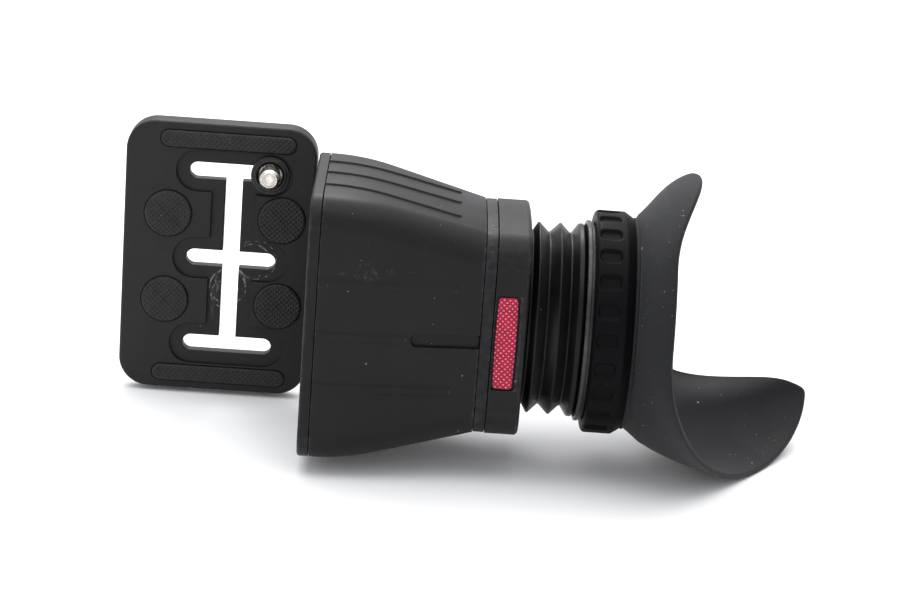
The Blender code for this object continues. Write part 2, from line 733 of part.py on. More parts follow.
def make_carrier(parent, look):
    """Lens barrel: tube that slides in the guide, and the wide lens cell at the eye end."""
    web = CELL_START + CELL_WEB
    profile = [(TUBE_FRONT, TUBE_INNER), (TUBE_FRONT, TUBE_OUTER), (CELL_START, TUBE_OUTER),
               (CELL_START, CELL_OUTER), (CELL_END, CELL_OUTER), (CELL_END, CELL_BORE),
               (web, CELL_BORE), (web, TUBE_INNER)]
    return turned("lens_carrier", profile, parent, look, steps=32)


def lens_profile(front, rear, bulge_front, bulge_rear):
    """Section of a lens with curved faces, from the axis out and back."""
    points = []
    for step in range(LENS_STEPS + 1):
        share = step / LENS_STEPS
        points.append((front - bulge_front * (1 - share * share), LENS_RADIUS * share))
    for step in range(LENS_STEPS, -1, -1):
        share = step / LENS_STEPS
        points.append((rear + bulge_rear * (1 - share * share), LENS_RADIUS * share))
    return points


def notched_circle(x, radius, deep=0.0):
    """Circle with four points for each notch; the middle two are drawn in."""
    points = []
    corners = ((-NOTCH_SHARE / 2 - NOTCH_SIDE, 0.0), (-NOTCH_SHARE / 2, deep), (NOTCH_SHARE / 2, deep),
               (NOTCH_SHARE / 2 + NOTCH_SIDE, 0.0))
    for notch in range(NOTCH_COUNT):
        for share, drop in corners:
            angle = (notch + 0.5 + share) * 2 * math.pi / NOTCH_COUNT
            r = radius - drop
            points.append((x, r * math.sin(angle), -r * math.cos(angle)))
    return points


def make_focus_ring(parent, look):
    """Grip ring with notches round its front half."""
    inner = CELL_OUTER + GAP
    sections = [notched_circle(RING_START, RING_OUTER - RING_EDGE),
                notched_circle(RING_START + RING_EDGE * 2 / 3, RING_OUTER),
                notched_circle(NOTCH_START, RING_OUTER),
                notched_circle(NOTCH_START + NOTCH_SLOPE, RING_OUTER, NOTCH_DEEP),
                notched_circle(NOTCH_END, RING_OUTER, NOTCH_DEEP),
                notched_circle(NOTCH_END + NOTCH_SLOPE, RING_OUTER),
                notched_circle(RING_TAPER_START, RING_OUTER),
                notched_circle(RING_END, RING_TAPER_RADIUS),
                notched_circle(RING_END, inner), notched_circle(RING_START, inner)]
    return object_from("focus_ring", loft(sections, ring=True), parent, look)


def bump(angle, at, before, after):
    """Smooth rise to 1 at an angle; before and after are its reaches to either side, in degrees."""
    gap = (angle - at + 180.0) % 360.0 - 180.0
    reach = before if gap < 0 else after
    if abs(gap) >= reach:
        return 0.0
    return 0.5 + 0.5 * math.cos(math.pi * gap / reach)


def rim_point(share):
    """Base angle, rim angle, station and radius at a share of the way round the rim."""
    lap = share - 0.5
    base = CUP_CROWD_AT + 360.0 * lap - CUP_CROWD * math.sin(2 * math.pi * lap)
    nose = bump(base, 180.0, NOSE_HALF, NOSE_HALF)
    x = CUP_RIM_X + NOSE_LONG * nose + LOBE_LONG * bump(base, LOBE_AT, LOBE_NEAR, LOBE_FAR)
    spread = bump(base, SPREAD_AT, SPREAD_HALF, SPREAD_HALF)
    radius = CUP_RIM_RADIUS + NOSE_SPREAD * nose + LOBE_SPREAD * spread
    rim = base + LOBE_TURN * bump(base, TURN_AT, TURN_NEAR, TURN_FAR)
    return base, rim, x, radius


def cup_point(share, along):
    """Point of the eyecup's outer wall, from the base (along 0) to the rim (along 1)."""
    base, rim, x_rim, r_rim = rim_point(share)
    reach = x_rim - CUP_START
    lean = CUP_LEAN_SHORT - CUP_LEAN_FALL * (reach - CUP_REACH_SHORT) / CUP_REACH_RANGE
    flare = min(CUP_FLARE_MOST, CUP_FLARE + CUP_FLARE_REACH / reach)
    first = CUP_BASE_SHARE * reach
    last = CUP_RIM_SHARE * reach
    knots = ((CUP_START, CUP_BASE_RADIUS), (CUP_START + first, CUP_BASE_RADIUS + first * flare),
             (x_rim - last, r_rim - last * lean), (x_rim, r_rim))
    weights = ((1 - along) ** 3, 3 * along * (1 - along) ** 2, 3 * along ** 2 * (1 - along), along ** 3)
    x = sum(w * k[0] for w, k in zip(weights, knots))
    r = sum(w * k[1] for w, k in zip(weights, knots))
    angle = math.radians(base + (rim - base) * along)
    return (x, r * math.sin(angle), -r * math.cos(angle))


def make_eyecup(parent, look):
    """Rubber eyecup: flared wall with a nose flare and a long temple lobe, on a short neck."""
    shares = [i / CUP_STEPS_AROUND for i in range(CUP_STEPS_AROUND)]
    outer = [[cup_point(s, j / CUP_STEPS_ALONG) for s in shares] for j in range(CUP_STEPS_ALONG + 1)]
    skin = bmesh.new()
    rows = [[skin.verts.new(point) for point in row] for row in outer]
    for low, high in zip(rows, rows[1:]):
        for i in range(CUP_STEPS_AROUND):
            j = (i + 1) % CUP_STEPS_AROUND
            skin.faces.new((low[i], high[i], high[j], low[j]))
    skin.normal_update()
    inner = [[tuple(v.co - v.normal * CUP_WALL * side) for v in row]
             for row in rows for side in (facing(row),)]
    skin.free()
    neck_end = CUP_START + CUP_NECK_LONG
    base_angles = [math.atan2(z, y) for _, y, z in outer[0]]
    def neck(x):
        return [(x, CUP_NECK_INNER * math.cos(a), CUP_NECK_INNER * math.sin(a)) for a in base_angles]
    inner_rows = inner[1:]
    sections = [neck(CUP_START)] + outer + inner_rows[::-1] + [neck(neck_end)]
    return object_from("eyecup", loft(sections, ring=True), parent, look, smooth=50.0)


def facing(row):
    """1 where a row's vertex normals point away from the axis, otherwise -1."""
    outward = sum(v.normal.y * v.co.y + v.normal.z * v.co.z for v in row)
    return 1.0 if outward > 0 else -1.0


def slot_shapes(width):
    """Outlines of the plate's upright slot and its three cross slots."""
    half = width / 2
    radius = half - ROUND_END
    grow = (width - SLOT_WIDE) / 2
    shapes = [rounded_rectangle(half, SLOT_PITCH + half, radius, x=SLOT_X)]
    for row in (-1, 0, 1):
        shapes.append(rounded_rectangle(SLOT_LONG / 2 + grow, half, radius, x=SLOT_X, z=row * SLOT_PITCH))
    return shapes


def slot_cutters(name, width, low_y, high_y, parent):
    """Cutters that follow the slots between two depths."""
    cutters = []
    for index, shape in enumerate(slot_shapes(width)):
        cutter = flat_shape(f"{name}_{index}", [shape], high_y - low_y, parent)
        cutter.location = (0.0, (low_y + high_y) / 2, 0.0)
        cutters.append(cutter)
    return cutters


def round_pad_places():
    """Centres of the four round pads."""
    return [(x, z) for x in (PAD_LEFT, PAD_RIGHT) for z in (PAD_Z, -PAD_Z)]


def long_pad_shape(grow, z):
    """Outline of a long pad."""
    return rounded_rectangle(LONG_PAD_LONG / 2 + grow, LONG_PAD_WIDE / 2 + grow,
                             LONG_PAD_WIDE / 2 + grow - ROUND_END, x=LONG_PAD_X, z=z)


def make_plate(parent, look):
    """Camera plate: stepped slots, pad pockets and the screw's entry hole."""
    shape = rounded_rectangle(PLATE_LONG / 2, PLATE_HEIGHT / 2, PLATE_RADIUS, steps=5,
                              x=PLATE_END - PLATE_LONG / 2)
    made = flat_shape("base_plate", [shape], PLATE_THICK, parent, look, edge=PLATE_EDGE)
    made.location = (0.0, PLATE_FACE + PLATE_THICK / 2, 0.0)
    back = PLATE_FACE + PLATE_THICK
    for cutter in slot_cutters("slot", SLOT_WIDE, PLATE_FACE - CUT, back + CUT, parent):
        boolean(made, cutter)
    channel_floor = PLATE_FACE + CHANNEL_DEEP
    for cutter in slot_cutters("channel", CHANNEL_WIDE, PLATE_FACE - CUT, channel_floor, parent):
        boolean(made, cutter)
    for cutter in slot_cutters("relief", CHANNEL_WIDE, back - UNDER_DEEP, back + CUT, parent):
        boolean(made, cutter)
    boolean(made, rod("screw_entry", ENTRY_RADIUS, (STUD_X, PLATE_FACE - CUT, SLOT_PITCH),
                      (STUD_X, back + CUT, SLOT_PITCH), "Y", parent, steps=24))
    pocket = PLATE_FACE + PAD_POCKET_DEEP
    for index, (x, z) in enumerate(round_pad_places()):
        boolean(made, rod(f"pad_pocket_{index}", PAD_RADIUS + GAP, (x, PLATE_FACE - CUT, z),
                          (x, pocket, z), "Y", parent, steps=24))
    for index, sign in enumerate((1, -1)):
        cutter = flat_shape(f"long_pocket_{index}", [long_pad_shape(GAP, sign * LONG_PAD_Z)],
                            PAD_POCKET_DEEP + CUT, parent)
        cutter.location = (0.0, (pocket + PLATE_FACE - CUT) / 2, 0.0)
        boolean(made, cutter)
    leaf_holes(made, "edge_hole", SHANK_HOLE, PLATE_END - EDGE_HOLE_LONG, PLATE_END + CUT, parent)
    return made


def leaf_holes(target, name, radius, start, end, parent):
    """Holes for the two hinge screws, between two stations."""
    for index, sign in enumerate((-1, 1)):
        z = sign * LEAF_SCREW_Z
        boolean(target, rod(f"{name}_{index}", radius, (start, LEAF_SCREW_Y, z), (end, LEAF_SCREW_Y, z),
                            "X", parent, steps=SCREW_SIDES))


def make_pads(parent, look):
    """Round and long rubber pads, standing slightly proud of the plate."""
    floor = PLATE_FACE + PAD_POCKET_DEEP - GAP
    top = PLATE_FACE - PAD_PROUD
    for index, (x, z) in enumerate(round_pad_places()):
        rod(f"pad_round_{index + 1}", PAD_RADIUS, (x, top, z), (x, floor, z), "Y", parent, look, steps=24)
    for name, sign in (("pad_long_top", 1), ("pad_long_bottom", -1)):
        made = flat_shape(name, [long_pad_shape(0.0, sign * LONG_PAD_Z)], floor - top, parent, look)
        made.location = (0.0, (floor + top) / 2, 0.0)


def make_camera_screw(parent, look):
    """Captive camera screw, turned about its own axis: tip, waist in the slot, slotted head."""
    web_top = PLATE_FACE + CHANNEL_DEEP
    web_bottom = PLATE_FACE + PLATE_THICK - UNDER_DEEP
    profile = [(STUD_TIP, STUD_RADIUS - STUD_CHAMFER), (STUD_TIP + STUD_CHAMFER, STUD_RADIUS),
               (web_top - GAP, STUD_RADIUS), (web_top - GAP, SHANK_RADIUS),
               (web_bottom + GAP, SHANK_RADIUS), (web_bottom + GAP, HEAD_RADIUS),
               (HEAD_END - HEAD_CHAMFER, HEAD_RADIUS), (HEAD_END, HEAD_RADIUS - HEAD_CHAMFER)]
    rows = [circle_across(y, r) for y, r in profile]
    made = object_from("camera_screw", loft(rows, ring=False), parent, look)
    side = HEAD_RADIUS + CUT
    coin = block("coin_slot", (-side, HEAD_END - COIN_SLOT_DEEP, -COIN_SLOT / 2),
                 (side, HEAD_END + CUT, COIN_SLOT / 2), parent)
    boolean(made, coin)
    return made


def circle_across(y, radius):
    """Circle across Y about the screw's own axis."""
    turns = [2 * math.pi * i / TURNED_SIDES for i in range(TURNED_SIDES)]
    return [(radius * math.cos(t), y, radius * math.sin(t)) for t in turns]


def make_washer(parent, look):
    """Washer that keeps the screw in the slot's channel."""
    bottom = PLATE_FACE + CHANNEL_DEEP - GAP
    top = bottom - WASHER_THICK
    profile = [(bottom, WASHER_INNER), (bottom, WASHER_OUTER), (top + WASHER_CHAMFER, WASHER_OUTER),
               (top, WASHER_OUTER - WASHER_CHAMFER), (top, WASHER_INNER)]
    rows = [circle_across(y, r) for y, r in profile]
    return object_from("screw_washer", loft(rows, ring=True), parent, look)


def make_hinge_leaf(parent, look):
    """Leaf on the plate's rear edge with three knuckles."""
    made = block("hinge_leaf", (PLATE_END + GAP, LEAF_TOP, -LEAF_HALF), (LEAF_END, LEAF_BOTTOM, LEAF_HALF),
                 parent, look)
    for index, (low, high) in enumerate(LEAF_KNUCKLES):
        web = block(f"leaf_web_{index}", (LEAF_WEB[0], HINGE_Y, low), (LEAF_WEB[1], LEAF_TOP + CUT, high),
                    parent)
        boolean(made, web, "UNION")
        knuckle = rod(f"leaf_knuckle_{index}", KNUCKLE_RADIUS, (HINGE_X, HINGE_Y, low),
                      (HINGE_X, HINGE_Y, high), "Z", parent)
        boolean(made, knuckle, "UNION")
    boolean(made, rod("leaf_pin_bore", PIN_HOLE, (HINGE_X, HINGE_Y, -LEAF_HALF - CUT),
                      (HINGE_X, HINGE_Y, LEAF_HALF + CUT), "Z", parent))
    leaf_holes(made, "leaf_hole", SHANK_HOLE, PLATE_END - CUT, LEAF_END + CUT, parent)
    leaf_holes(made, "leaf_seat", HEAD_SEAT, LEAF_END - HEAD_DEEP, LEAF_END + CUT, parent)
    return made


def make_hinge_screws(parent, look):
    """Two screws that hold the leaf on the plate's edge."""
    for index, sign in enumerate((-1, 1)):
        cap_screw(f"hinge_screw_{index + 1}", PLATE_END - LEAF_SCREW_LONG, LEAF_END, LEAF_SCREW_Y,
                  sign * LEAF_SCREW_Z, parent, look)


def main():
    global part_collection, cutter_collection
    for old in list(bpy.data.objects):
        bpy.data.objects.remove(old)
    part_collection = new_collection("finder")
    cutter_collection = new_collection("cutters")

    plastic = material("plastic_black", PLASTIC, 0.5)
    plate_look = material("plate_black", (0.02, 0.02, 0.022), 0.42)
    pad_look = material("pad_rubber", SOFT_RUBBER, 0.85)
    foam = material("gasket_foam", (0.018, 0.018, 0.018), 0.95)
    liner = material("liner_black", (0.012, 0.012, 0.012), 0.8)
    rubber = material("bellows_rubber", (0.012, 0.012, 0.013), 0.3)
    soft = material("eyecup_rubber", (0.024, 0.024, 0.025), 0.7)
    grip = material("grip_rubber", (0.02, 0.021, 0.022), 0.55)
    satin = material("satin_ring", (0.09, 0.09, 0.085), 0.32, 0.8)
    crimson = material("woven_crimson", (0.42, 0.02, 0.06), 0.75)
    steel = material("steel", STEEL, 0.28, 1.0)
    magnet = material("magnet", (0.5, 0.5, 0.5), 0.3, 1.0)
    washer = material("washer_black", (0.015, 0.015, 0.015), 0.35)
    glass = material("lens_glass", (0.85, 0.9, 0.92), 0.03)

    axis = empty("optical_axis", (AXIS_X, AXIS_Y, AXIS_HEIGHT))
    plate = empty("plate_body", (0.0, 0.0, 0.0), axis)
    screw_axis = empty("screw_axis", (STUD_X, 0.0, SLOT_PITCH), axis)
    eyepiece = empty("eyepiece_body", (0.0, 0.0, 0.0), axis)

    make_plate(plate, plate_look)
    make_pads(plate, pad_look)
    make_hinge_leaf(plate, plate_look)
    make_hinge_screws(plate, steel)
    rod("hinge_pin", PIN_RADIUS, (HINGE_X, HINGE_Y, -LEAF_HALF), (HINGE_X, HINGE_Y, LEAF_HALF), "Z",
        plate, steel)
    make_camera_screw(screw_axis, steel)
    make_washer(screw_axis, washer)

    make_front_frame(axis, plastic)
    make_gasket(axis, foam)
    make_magnets("frame_magnet", FRAME_THICK - MAGNET_THICK - MAGNET_SUNK, axis, magnet)

    make_housing(axis, plastic)
    make_magnets("hood_magnet", HOOD_FRONT + MAGNET_SUNK, axis, magnet)
    make_liner(axis, liner)
    make_band(axis, plastic)
    make_collar(axis, plastic)
    make_tag("tag_near", -1, axis, crimson)
    make_tag("tag_far", 1, axis, crimson)
    make_collar_screws(axis, washer)
    make_guide(axis, liner)
    make_bellows(axis, rubber)

    make_carrier(eyepiece, liner)
    turned("flange_ring", ring_profile(CELL_START, FLANGE_END, CELL_OUTER + GAP, FLANGE_OUTER,
                                       FLANGE_CHAMFER), eyepiece, satin, steps=36)
    turned("lens_front", lens_profile(*FRONT_LENS), eyepiece, glass, steps=24)
    turned("lens_rear", lens_profile(*REAR_LENS), eyepiece, glass, steps=24)
    for name, (front, rear, bore) in (("lens_spacer", SPACER), ("lens_retainer", RETAINER)):
        turned(name, ring_profile(front, rear, bore, LENS_RADIUS), eyepiece, liner, steps=24)
    make_focus_ring(eyepiece, grip)
    make_eyecup(eyepiece, soft)


main()
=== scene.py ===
"""Looks of the optical finder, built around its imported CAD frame.

Lengths in the script are millimetres. X runs along the optical axis from the screen frame's front
plane towards the eye, Y away from the near side and Z up, all measured from the axis.
"""
import math

import bmesh
import bpy
import numpy as np
from mathutils import Matrix, Vector


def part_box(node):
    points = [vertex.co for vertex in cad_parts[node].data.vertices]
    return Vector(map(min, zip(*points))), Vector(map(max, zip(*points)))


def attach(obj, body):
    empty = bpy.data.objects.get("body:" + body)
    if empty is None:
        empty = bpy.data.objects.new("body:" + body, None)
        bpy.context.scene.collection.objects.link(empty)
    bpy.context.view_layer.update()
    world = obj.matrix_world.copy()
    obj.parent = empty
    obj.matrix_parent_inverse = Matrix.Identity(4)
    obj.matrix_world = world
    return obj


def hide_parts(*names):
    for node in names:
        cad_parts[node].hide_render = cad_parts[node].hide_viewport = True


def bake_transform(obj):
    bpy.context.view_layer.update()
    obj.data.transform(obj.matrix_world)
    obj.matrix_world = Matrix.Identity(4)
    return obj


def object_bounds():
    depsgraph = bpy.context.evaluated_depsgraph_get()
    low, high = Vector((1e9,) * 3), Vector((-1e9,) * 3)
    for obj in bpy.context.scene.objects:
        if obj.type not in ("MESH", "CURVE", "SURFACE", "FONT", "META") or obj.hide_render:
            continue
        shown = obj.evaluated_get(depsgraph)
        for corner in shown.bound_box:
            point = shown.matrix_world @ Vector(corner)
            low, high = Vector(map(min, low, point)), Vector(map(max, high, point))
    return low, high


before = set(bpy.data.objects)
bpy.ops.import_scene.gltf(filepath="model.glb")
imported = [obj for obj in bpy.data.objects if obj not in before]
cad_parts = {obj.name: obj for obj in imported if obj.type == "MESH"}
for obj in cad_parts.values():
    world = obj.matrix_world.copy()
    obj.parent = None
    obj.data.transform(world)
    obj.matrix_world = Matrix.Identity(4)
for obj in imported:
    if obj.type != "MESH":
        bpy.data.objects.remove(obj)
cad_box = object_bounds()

MM = 0.001
GAP = 0.3

# ---------------------------------------------------------------- places taken from the CAD frame
gasket_low, gasket_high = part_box("frame_gasket")
flange_low, flange_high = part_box("flange_ring")
AXIS = Vector((gasket_low.x, (flange_low.y + flange_high.y) / 2, (flange_low.z + flange_high.z) / 2))


def span(node):
    """Lowest and highest corner of a CAD node, in millimetres from the optical axis."""
    low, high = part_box(node)
    return (low - AXIS) / MM, (high - AXIS) / MM


def middle(node):
    """Centre of a CAD node's box."""
    low, high = span(node)
    return (low + high) / 2


def reach(node):
    """Radius of a CAD node that is turned about the optical axis."""
    low, high = span(node)
    return (high.z - low.z) / 2


FRAME_LOW, FRAME_HIGH = span("front_frame")
HOOD_LOW, HOOD_HIGH = span("housing")
BAND_LOW, BAND_HIGH = span("collar_band")
COLLAR_LOW, COLLAR_HIGH = span("rear_collar")
PLATE_LOW, PLATE_HIGH = span("base_plate")
CUP_LOW, CUP_HIGH = span("eyecup")
RING_LOW, RING_HIGH = span("focus_ring")

# Screen frame
FRAME_HEIGHT = FRAME_HIGH.z - FRAME_LOW.z
FRAME_DEPTH = -2 * FRAME_LOW.y
FRAME_RADIUS = 9.0
FRAME_THICK = FRAME_HIGH.x + 0.05
FRAME_EDGE = 0.9
APERTURE_HEIGHT = 66.0
APERTURE_DEPTH = 47.0
APERTURE_RADIUS = 4.0
REBATE_WIDTH = 3.0
REBATE_DEEP = 1.0
MAGNET_RADIUS = 2.5
POCKET_DEEP = 1.5

# Hood
HOOD_FRONT = HOOD_LOW.x - 0.05
HOOD_REAR = HOOD_HIGH.x + 0.05
HOOD_SWELL = 0.5
HOOD_WALL = 2.2
HOOD_FLANGE = 3.0
HOOD_EDGE = 0.3
REAR_WALL = 2.0
TAPER_START = 4.0
TAPER_EASE = 0.4
RIB_HIGH = 0.52
SIDE_RIB_HIGH = 0.42
RIB_HALF = 1.5
RIB_SLOPE = 0.45
SIDE_RIB_HALF = 1.25
SIDE_RIB_SLOPE = 1.0
RIB_END = 43.5
RIB_END_MIDDLE = 30.0
SIDE_RIBS = (-15.5, 0.0, 15.5)
TOP_RIBS = (-13.0, 0.0, 13.0)
GROOVE_START = 31.0
GROOVE_HALF = 2.0
GROOVE_DEEP = 1.3

# Collar
COLLAR_HEIGHT = COLLAR_HIGH.z - COLLAR_LOW.z
COLLAR_DEPTH = COLLAR_HIGH.y - COLLAR_LOW.y
COLLAR_RADIUS = 10.0
COLLAR_ARCH = 1.2
BAND_INSET = 0.4
SEAM_EDGE = 0.12
COLLAR_EDGE = 1.3
COLLAR_LIP = 2.0
WINDOW_START = 54.9
WINDOW_END = 61.8
WINDOW_HALF = 14.4
WINDOW_DEEP = 1.4
WINDOW_RADIUS = 0.9
WEAVE_PITCH = 0.8

# Eyepiece
HOOD_BORE = 24.5
COLLAR_BORE = 26.4
CELL_OUTER = 28.6
CELL_BORE = 26.4
TUBE_OUTER = 21.4
TUBE_INNER = 19.8
GUIDE_OUTER = 23.3
GUIDE_INNER = 21.8
NOTCH_COUNT = 24
NOTCH_SHARE = 0.47
NOTCH_DEEP = 0.95
NOTCH_START = 84.1
NOTCH_END = 90.3
CHAMFER_START = 92.2
CHAMFER_RADIUS = 31.6

# Eyecup: the rim is a circle with a nose flare at the top and a long, skewed temple lobe below.
# Angles are in degrees from straight down, positive away from the near side.
CUP_START = CUP_LOW.x
CUP_BASE_RADIUS = 31.3
CUP_NECK_INNER = 28.9
CUP_NECK_LONG = 2.4
CUP_WALL = 1.8
CUP_RIM_X = 105.0
CUP_RIM_RADIUS = 44.2
NOSE_LONG = 8.0
NOSE_SPREAD = 2.4
NOSE_HALF = 50.0
LOBE_LONG = 51.0
LOBE_AT = 12.0
LOBE_NEAR = 115.0
LOBE_FAR = 54.0
LOBE_TURN = 37.0
TURN_AT = 5.0
TURN_NEAR = 150.0
TURN_FAR = 62.0
LOBE_SPREAD = 8.0
SPREAD_AT = 43.0
SPREAD_HALF = 22.0
CUP_CROWD_AT = 30.0
CUP_CROWD = 26.0
CUP_AROUND = 288
CUP_ALONG = 64

# Camera plate
PLATE_FACE = PLATE_LOW.y
PLATE_BACK = PLATE_HIGH.y
PLATE_MIDDLE = (PLATE_LOW + PLATE_HIGH) / 2
PLATE_RADIUS = 9.3
PLATE_EDGE = 1.0
SLOT_X = -26.3
SLOT_WIDE = 5.2
SLOT_LONG = 27.7
SLOT_PITCH = 27.9
SLOT_EDGE = 0.25
CHANNEL_WIDE = 13.2
CHANNEL_DEEP = 1.2
UNDER_DEEP = 3.0
PAD_POCKET_DEEP = 1.0
PAD_PITCH = 1.15
PAD_RIDGE = 0.26
PLATE_SCUFFS = ((-26.8, -9.0, 5.6, 0.35), (-19.5, 0.0, 5.4, 0.35), (-26.0, -7.0, 4.6, 0.22),
                (-18.5, 0.4, 6.3, 0.22), (-27.5, -11.5, 4.4, 0.25))
STUD = middle("camera_screw")
ENTRY_RADIUS = 3.7
STUD_RADIUS = 3.175
THREAD_PITCH = 1.27
THREAD_DEEP = 0.55

# Hinge
HINGE_Y = 34.3
KNUCKLE_RADIUS = 2.0
EDGE_HOLE_RADIUS = 1.3
EDGE_HOLE_LONG = 6.0
PIN_RADIUS = 0.8
PIN_HOLE = 1.1
LEAF_KNUCKLES = ((-26.0, -14.0), (-5.0, 5.0), (14.0, 26.0))
FRAME_KNUCKLES = ((-13.7, -5.3), (5.3, 13.7))

# Camera: where it looks, how far off it stands, and its elevation, azimuth and roll in degrees
VIEW_TARGET = Vector((42.0, 0.0, 3.45))
VIEW_DISTANCE = 809.43
VIEW_ELEVATION = 17.26
VIEW_AZIMUTH = -1.05
VIEW_ROLL = -4.24
VIEW_LENS = 108.75


# ---------------------------------------------------------------- materials
def node(tree, kind, values=None, **settings):
    """Add a shader node, set its properties and its unlinked inputs."""
    made = tree.nodes.new(kind)
    for key, value in settings.items():
        setattr(made, key, value)
    for key, value in (values or {}).items():
        made.inputs[key].default_value = value
    return made


def maths(tree, operation, a, b=0.0):
    """A Math node; a and b are sockets or numbers."""
    made = node(tree, "ShaderNodeMath", operation=operation)
    for index, value in enumerate((a, b)):
        if isinstance(value, (int, float)):
            made.inputs[index].default_value = value
        else:
            tree.links.new(value, made.inputs[index])
    return made.outputs[0]


def fade(tree, value, low, high, out_low=0.0, out_high=1.0):
    """A clamped, smooth Map Range."""
    made = node(tree, "ShaderNodeMapRange", {"From Min": low, "From Max": high, "To Min": out_low,
                                             "To Max": out_high}, interpolation_type="SMOOTHSTEP")
    tree.links.new(value, made.inputs["Value"])
    return made.outputs["Result"]


def mix(tree, share, low, high):
    """Mix two colours; each is a socket or a tuple."""
    made = node(tree, "ShaderNodeMix", data_type="RGBA")
    tree.links.new(share, made.inputs["Factor"])
    for socket, value in ((made.inputs[6], low), (made.inputs[7], high)):
        if isinstance(value, tuple):
            socket.default_value = (*value, 1.0)
        else:
            tree.links.new(value, socket)
    return made.outputs[2]


def noise(tree, place, scale, detail=3.0, roughness=0.55, stretch=None):
    """Noise value; scale is in features per metre."""
    if stretch:
        mapping = node(tree, "ShaderNodeMapping", {"Scale": stretch})
        tree.links.new(place, mapping.inputs["Vector"])
        place = mapping.outputs["Vector"]
    made = node(tree, "ShaderNodeTexNoise", {"Scale": scale, "Detail": detail, "Roughness": roughness})
    tree.links.new(place, made.inputs["Vector"])
    return made.outputs["Fac"]


def specks(tree, place, scale, size, share):
    """Mask of scattered specks: scale cells per metre, size in cells, share of the cells that have one."""
    cells = node(tree, "ShaderNodeTexVoronoi", {"Scale": scale, "Randomness": 1.0})
    tree.links.new(place, cells.inputs["Vector"])
    parts = node(tree, "ShaderNodeSeparateColor")
    tree.links.new(cells.outputs["Color"], parts.inputs["Color"])
    chosen = maths(tree, "GREATER_THAN", parts.outputs["Red"], 1.0 - share)
    radius = maths(tree, "MULTIPLY", parts.outputs["Green"], size)
    near = maths(tree, "LESS_THAN", cells.outputs["Distance"], radius)
    return maths(tree, "MULTIPLY", chosen, near)


def attribute(tree, name):
    """Float attribute of the mesh."""
    return node(tree, "ShaderNodeAttribute", attribute_name=name).outputs["Fac"]


class Look:
    """A Principled material that is built up in layers over object coordinates."""

    def __init__(self, name, colour, roughness, metallic=0.0, specular=0.5, **fixed):
        self.material = bpy.data.materials.new(name)
        self.material.use_nodes = True
        self.tree = self.material.node_tree
        self.shader = self.tree.nodes["Principled BSDF"]
        self.shader.inputs["Metallic"].default_value = metallic
        self.shader.inputs["Specular IOR Level"].default_value = specular
        for key, value in fixed.items():
            self.shader.inputs[key.replace("_", " ")].default_value = value
        self.place = node(self.tree, "ShaderNodeTexCoord").outputs["Object"]
        self.colour = colour
        self.roughness = roughness
        self.height = None

    def mottle(self, scale, low, high, stretch=None):
        """Vary the colour between two shares of itself."""
        value = fade(self.tree, noise(self.tree, self.place, scale, 4.0, 0.6, stretch), 0.3, 0.7)
        base = self.colour
        if isinstance(base, tuple):
            self.colour = mix(self.tree, value, tuple(c * low for c in base), tuple(c * high for c in base))
        return self

    def paint(self, mask, colour, strength=1.0):
        """Lay a colour over the surface where the mask is."""
        self.colour = mix(self.tree, maths(self.tree, "MULTIPLY", mask, strength), self.colour, colour)
        return self

    def dust(self, scale=320.0, size=0.09, share=0.22, colour=(0.30, 0.29, 0.28), strength=0.8):
        """Pale dust specks of two sizes."""
        tree = self.tree
        patches = fade(tree, noise(tree, self.place, 45.0, 2.0), 0.40, 0.62)
        small = maths(tree, "MULTIPLY", specks(tree, self.place, scale * 2.3, size, share), patches)
        self.paint(specks(tree, self.place, scale, size, share * 0.5), colour, strength)
        return self.paint(small, colour, strength * 0.7)

    def wear(self, colour, strength, low=0.25, high=0.9):
        """Lighten the convex edges, broken up by noise."""
        tree = self.tree
        edge = fade(tree, attribute(tree, "edge"), low, high)
        broken = fade(tree, noise(tree, self.place, 420.0, 4.0, 0.7), 0.38, 0.66)
        return self.paint(maths(tree, "MULTIPLY", edge, broken), colour, strength)

    def rough(self, scale, low, high):
        """Vary the roughness."""
        self.roughness = fade(self.tree, noise(self.tree, self.place, scale, 4.0, 0.6), 0.3, 0.7, low, high)
        return self

    def bump(self, scale, deep, detail=3.0, stretch=None):
        """Add a noise relief; deep is in millimetres."""
        return self.relief(noise(self.tree, self.place, scale, detail, 0.6, stretch), deep)

    def relief(self, value, deep):
        """Add any height value; deep is in millimetres."""
        value = maths(self.tree, "MULTIPLY", value, deep)
        self.height = value if self.height is None else maths(self.tree, "ADD", self.height, value)
        return self

    def done(self):
        """Join the layers to the shader and give the material."""
        for key, value in (("Base Color", self.colour), ("Roughness", self.roughness)):
            socket = self.shader.inputs[key]
            if isinstance(value, tuple):
                socket.default_value = (*value, 1.0)
            elif isinstance(value, float):
                socket.default_value = value
            else:
                self.tree.links.new(value, socket)
        if self.height is not None:
            bump = node(self.tree, "ShaderNodeBump", {"Strength": 1.0, "Distance": MM})
            self.tree.links.new(self.height, bump.inputs["Height"])
            self.tree.links.new(bump.outputs["Normal"], self.shader.inputs["Normal"])
        return self.material


def circle_scuff(look, x, z, radius, width):
    """Mask of a rubbed circle in the plate's face, open where the noise says."""
    tree = look.tree
    parts = node(tree, "ShaderNodeSeparateXYZ")
    tree.links.new(look.place, parts.inputs["Vector"])
    across = maths(tree, "SUBTRACT", parts.outputs["X"], x * MM)
    up = maths(tree, "SUBTRACT", parts.outputs["Z"], z * MM)
    squares = maths(tree, "ADD", maths(tree, "MULTIPLY", across, across), maths(tree, "MULTIPLY", up, up))
    off = maths(tree, "ABSOLUTE", maths(tree, "SUBTRACT", maths(tree, "SQRT", squares), radius * MM))
    ring = fade(tree, off, 0.0, width * MM, 1.0, 0.0)
    broken = fade(tree, noise(tree, look.place, 190.0 + 37.0 * radius, 5.0, 0.75), 0.47, 0.60)
    return maths(tree, "MULTIPLY", ring, broken)


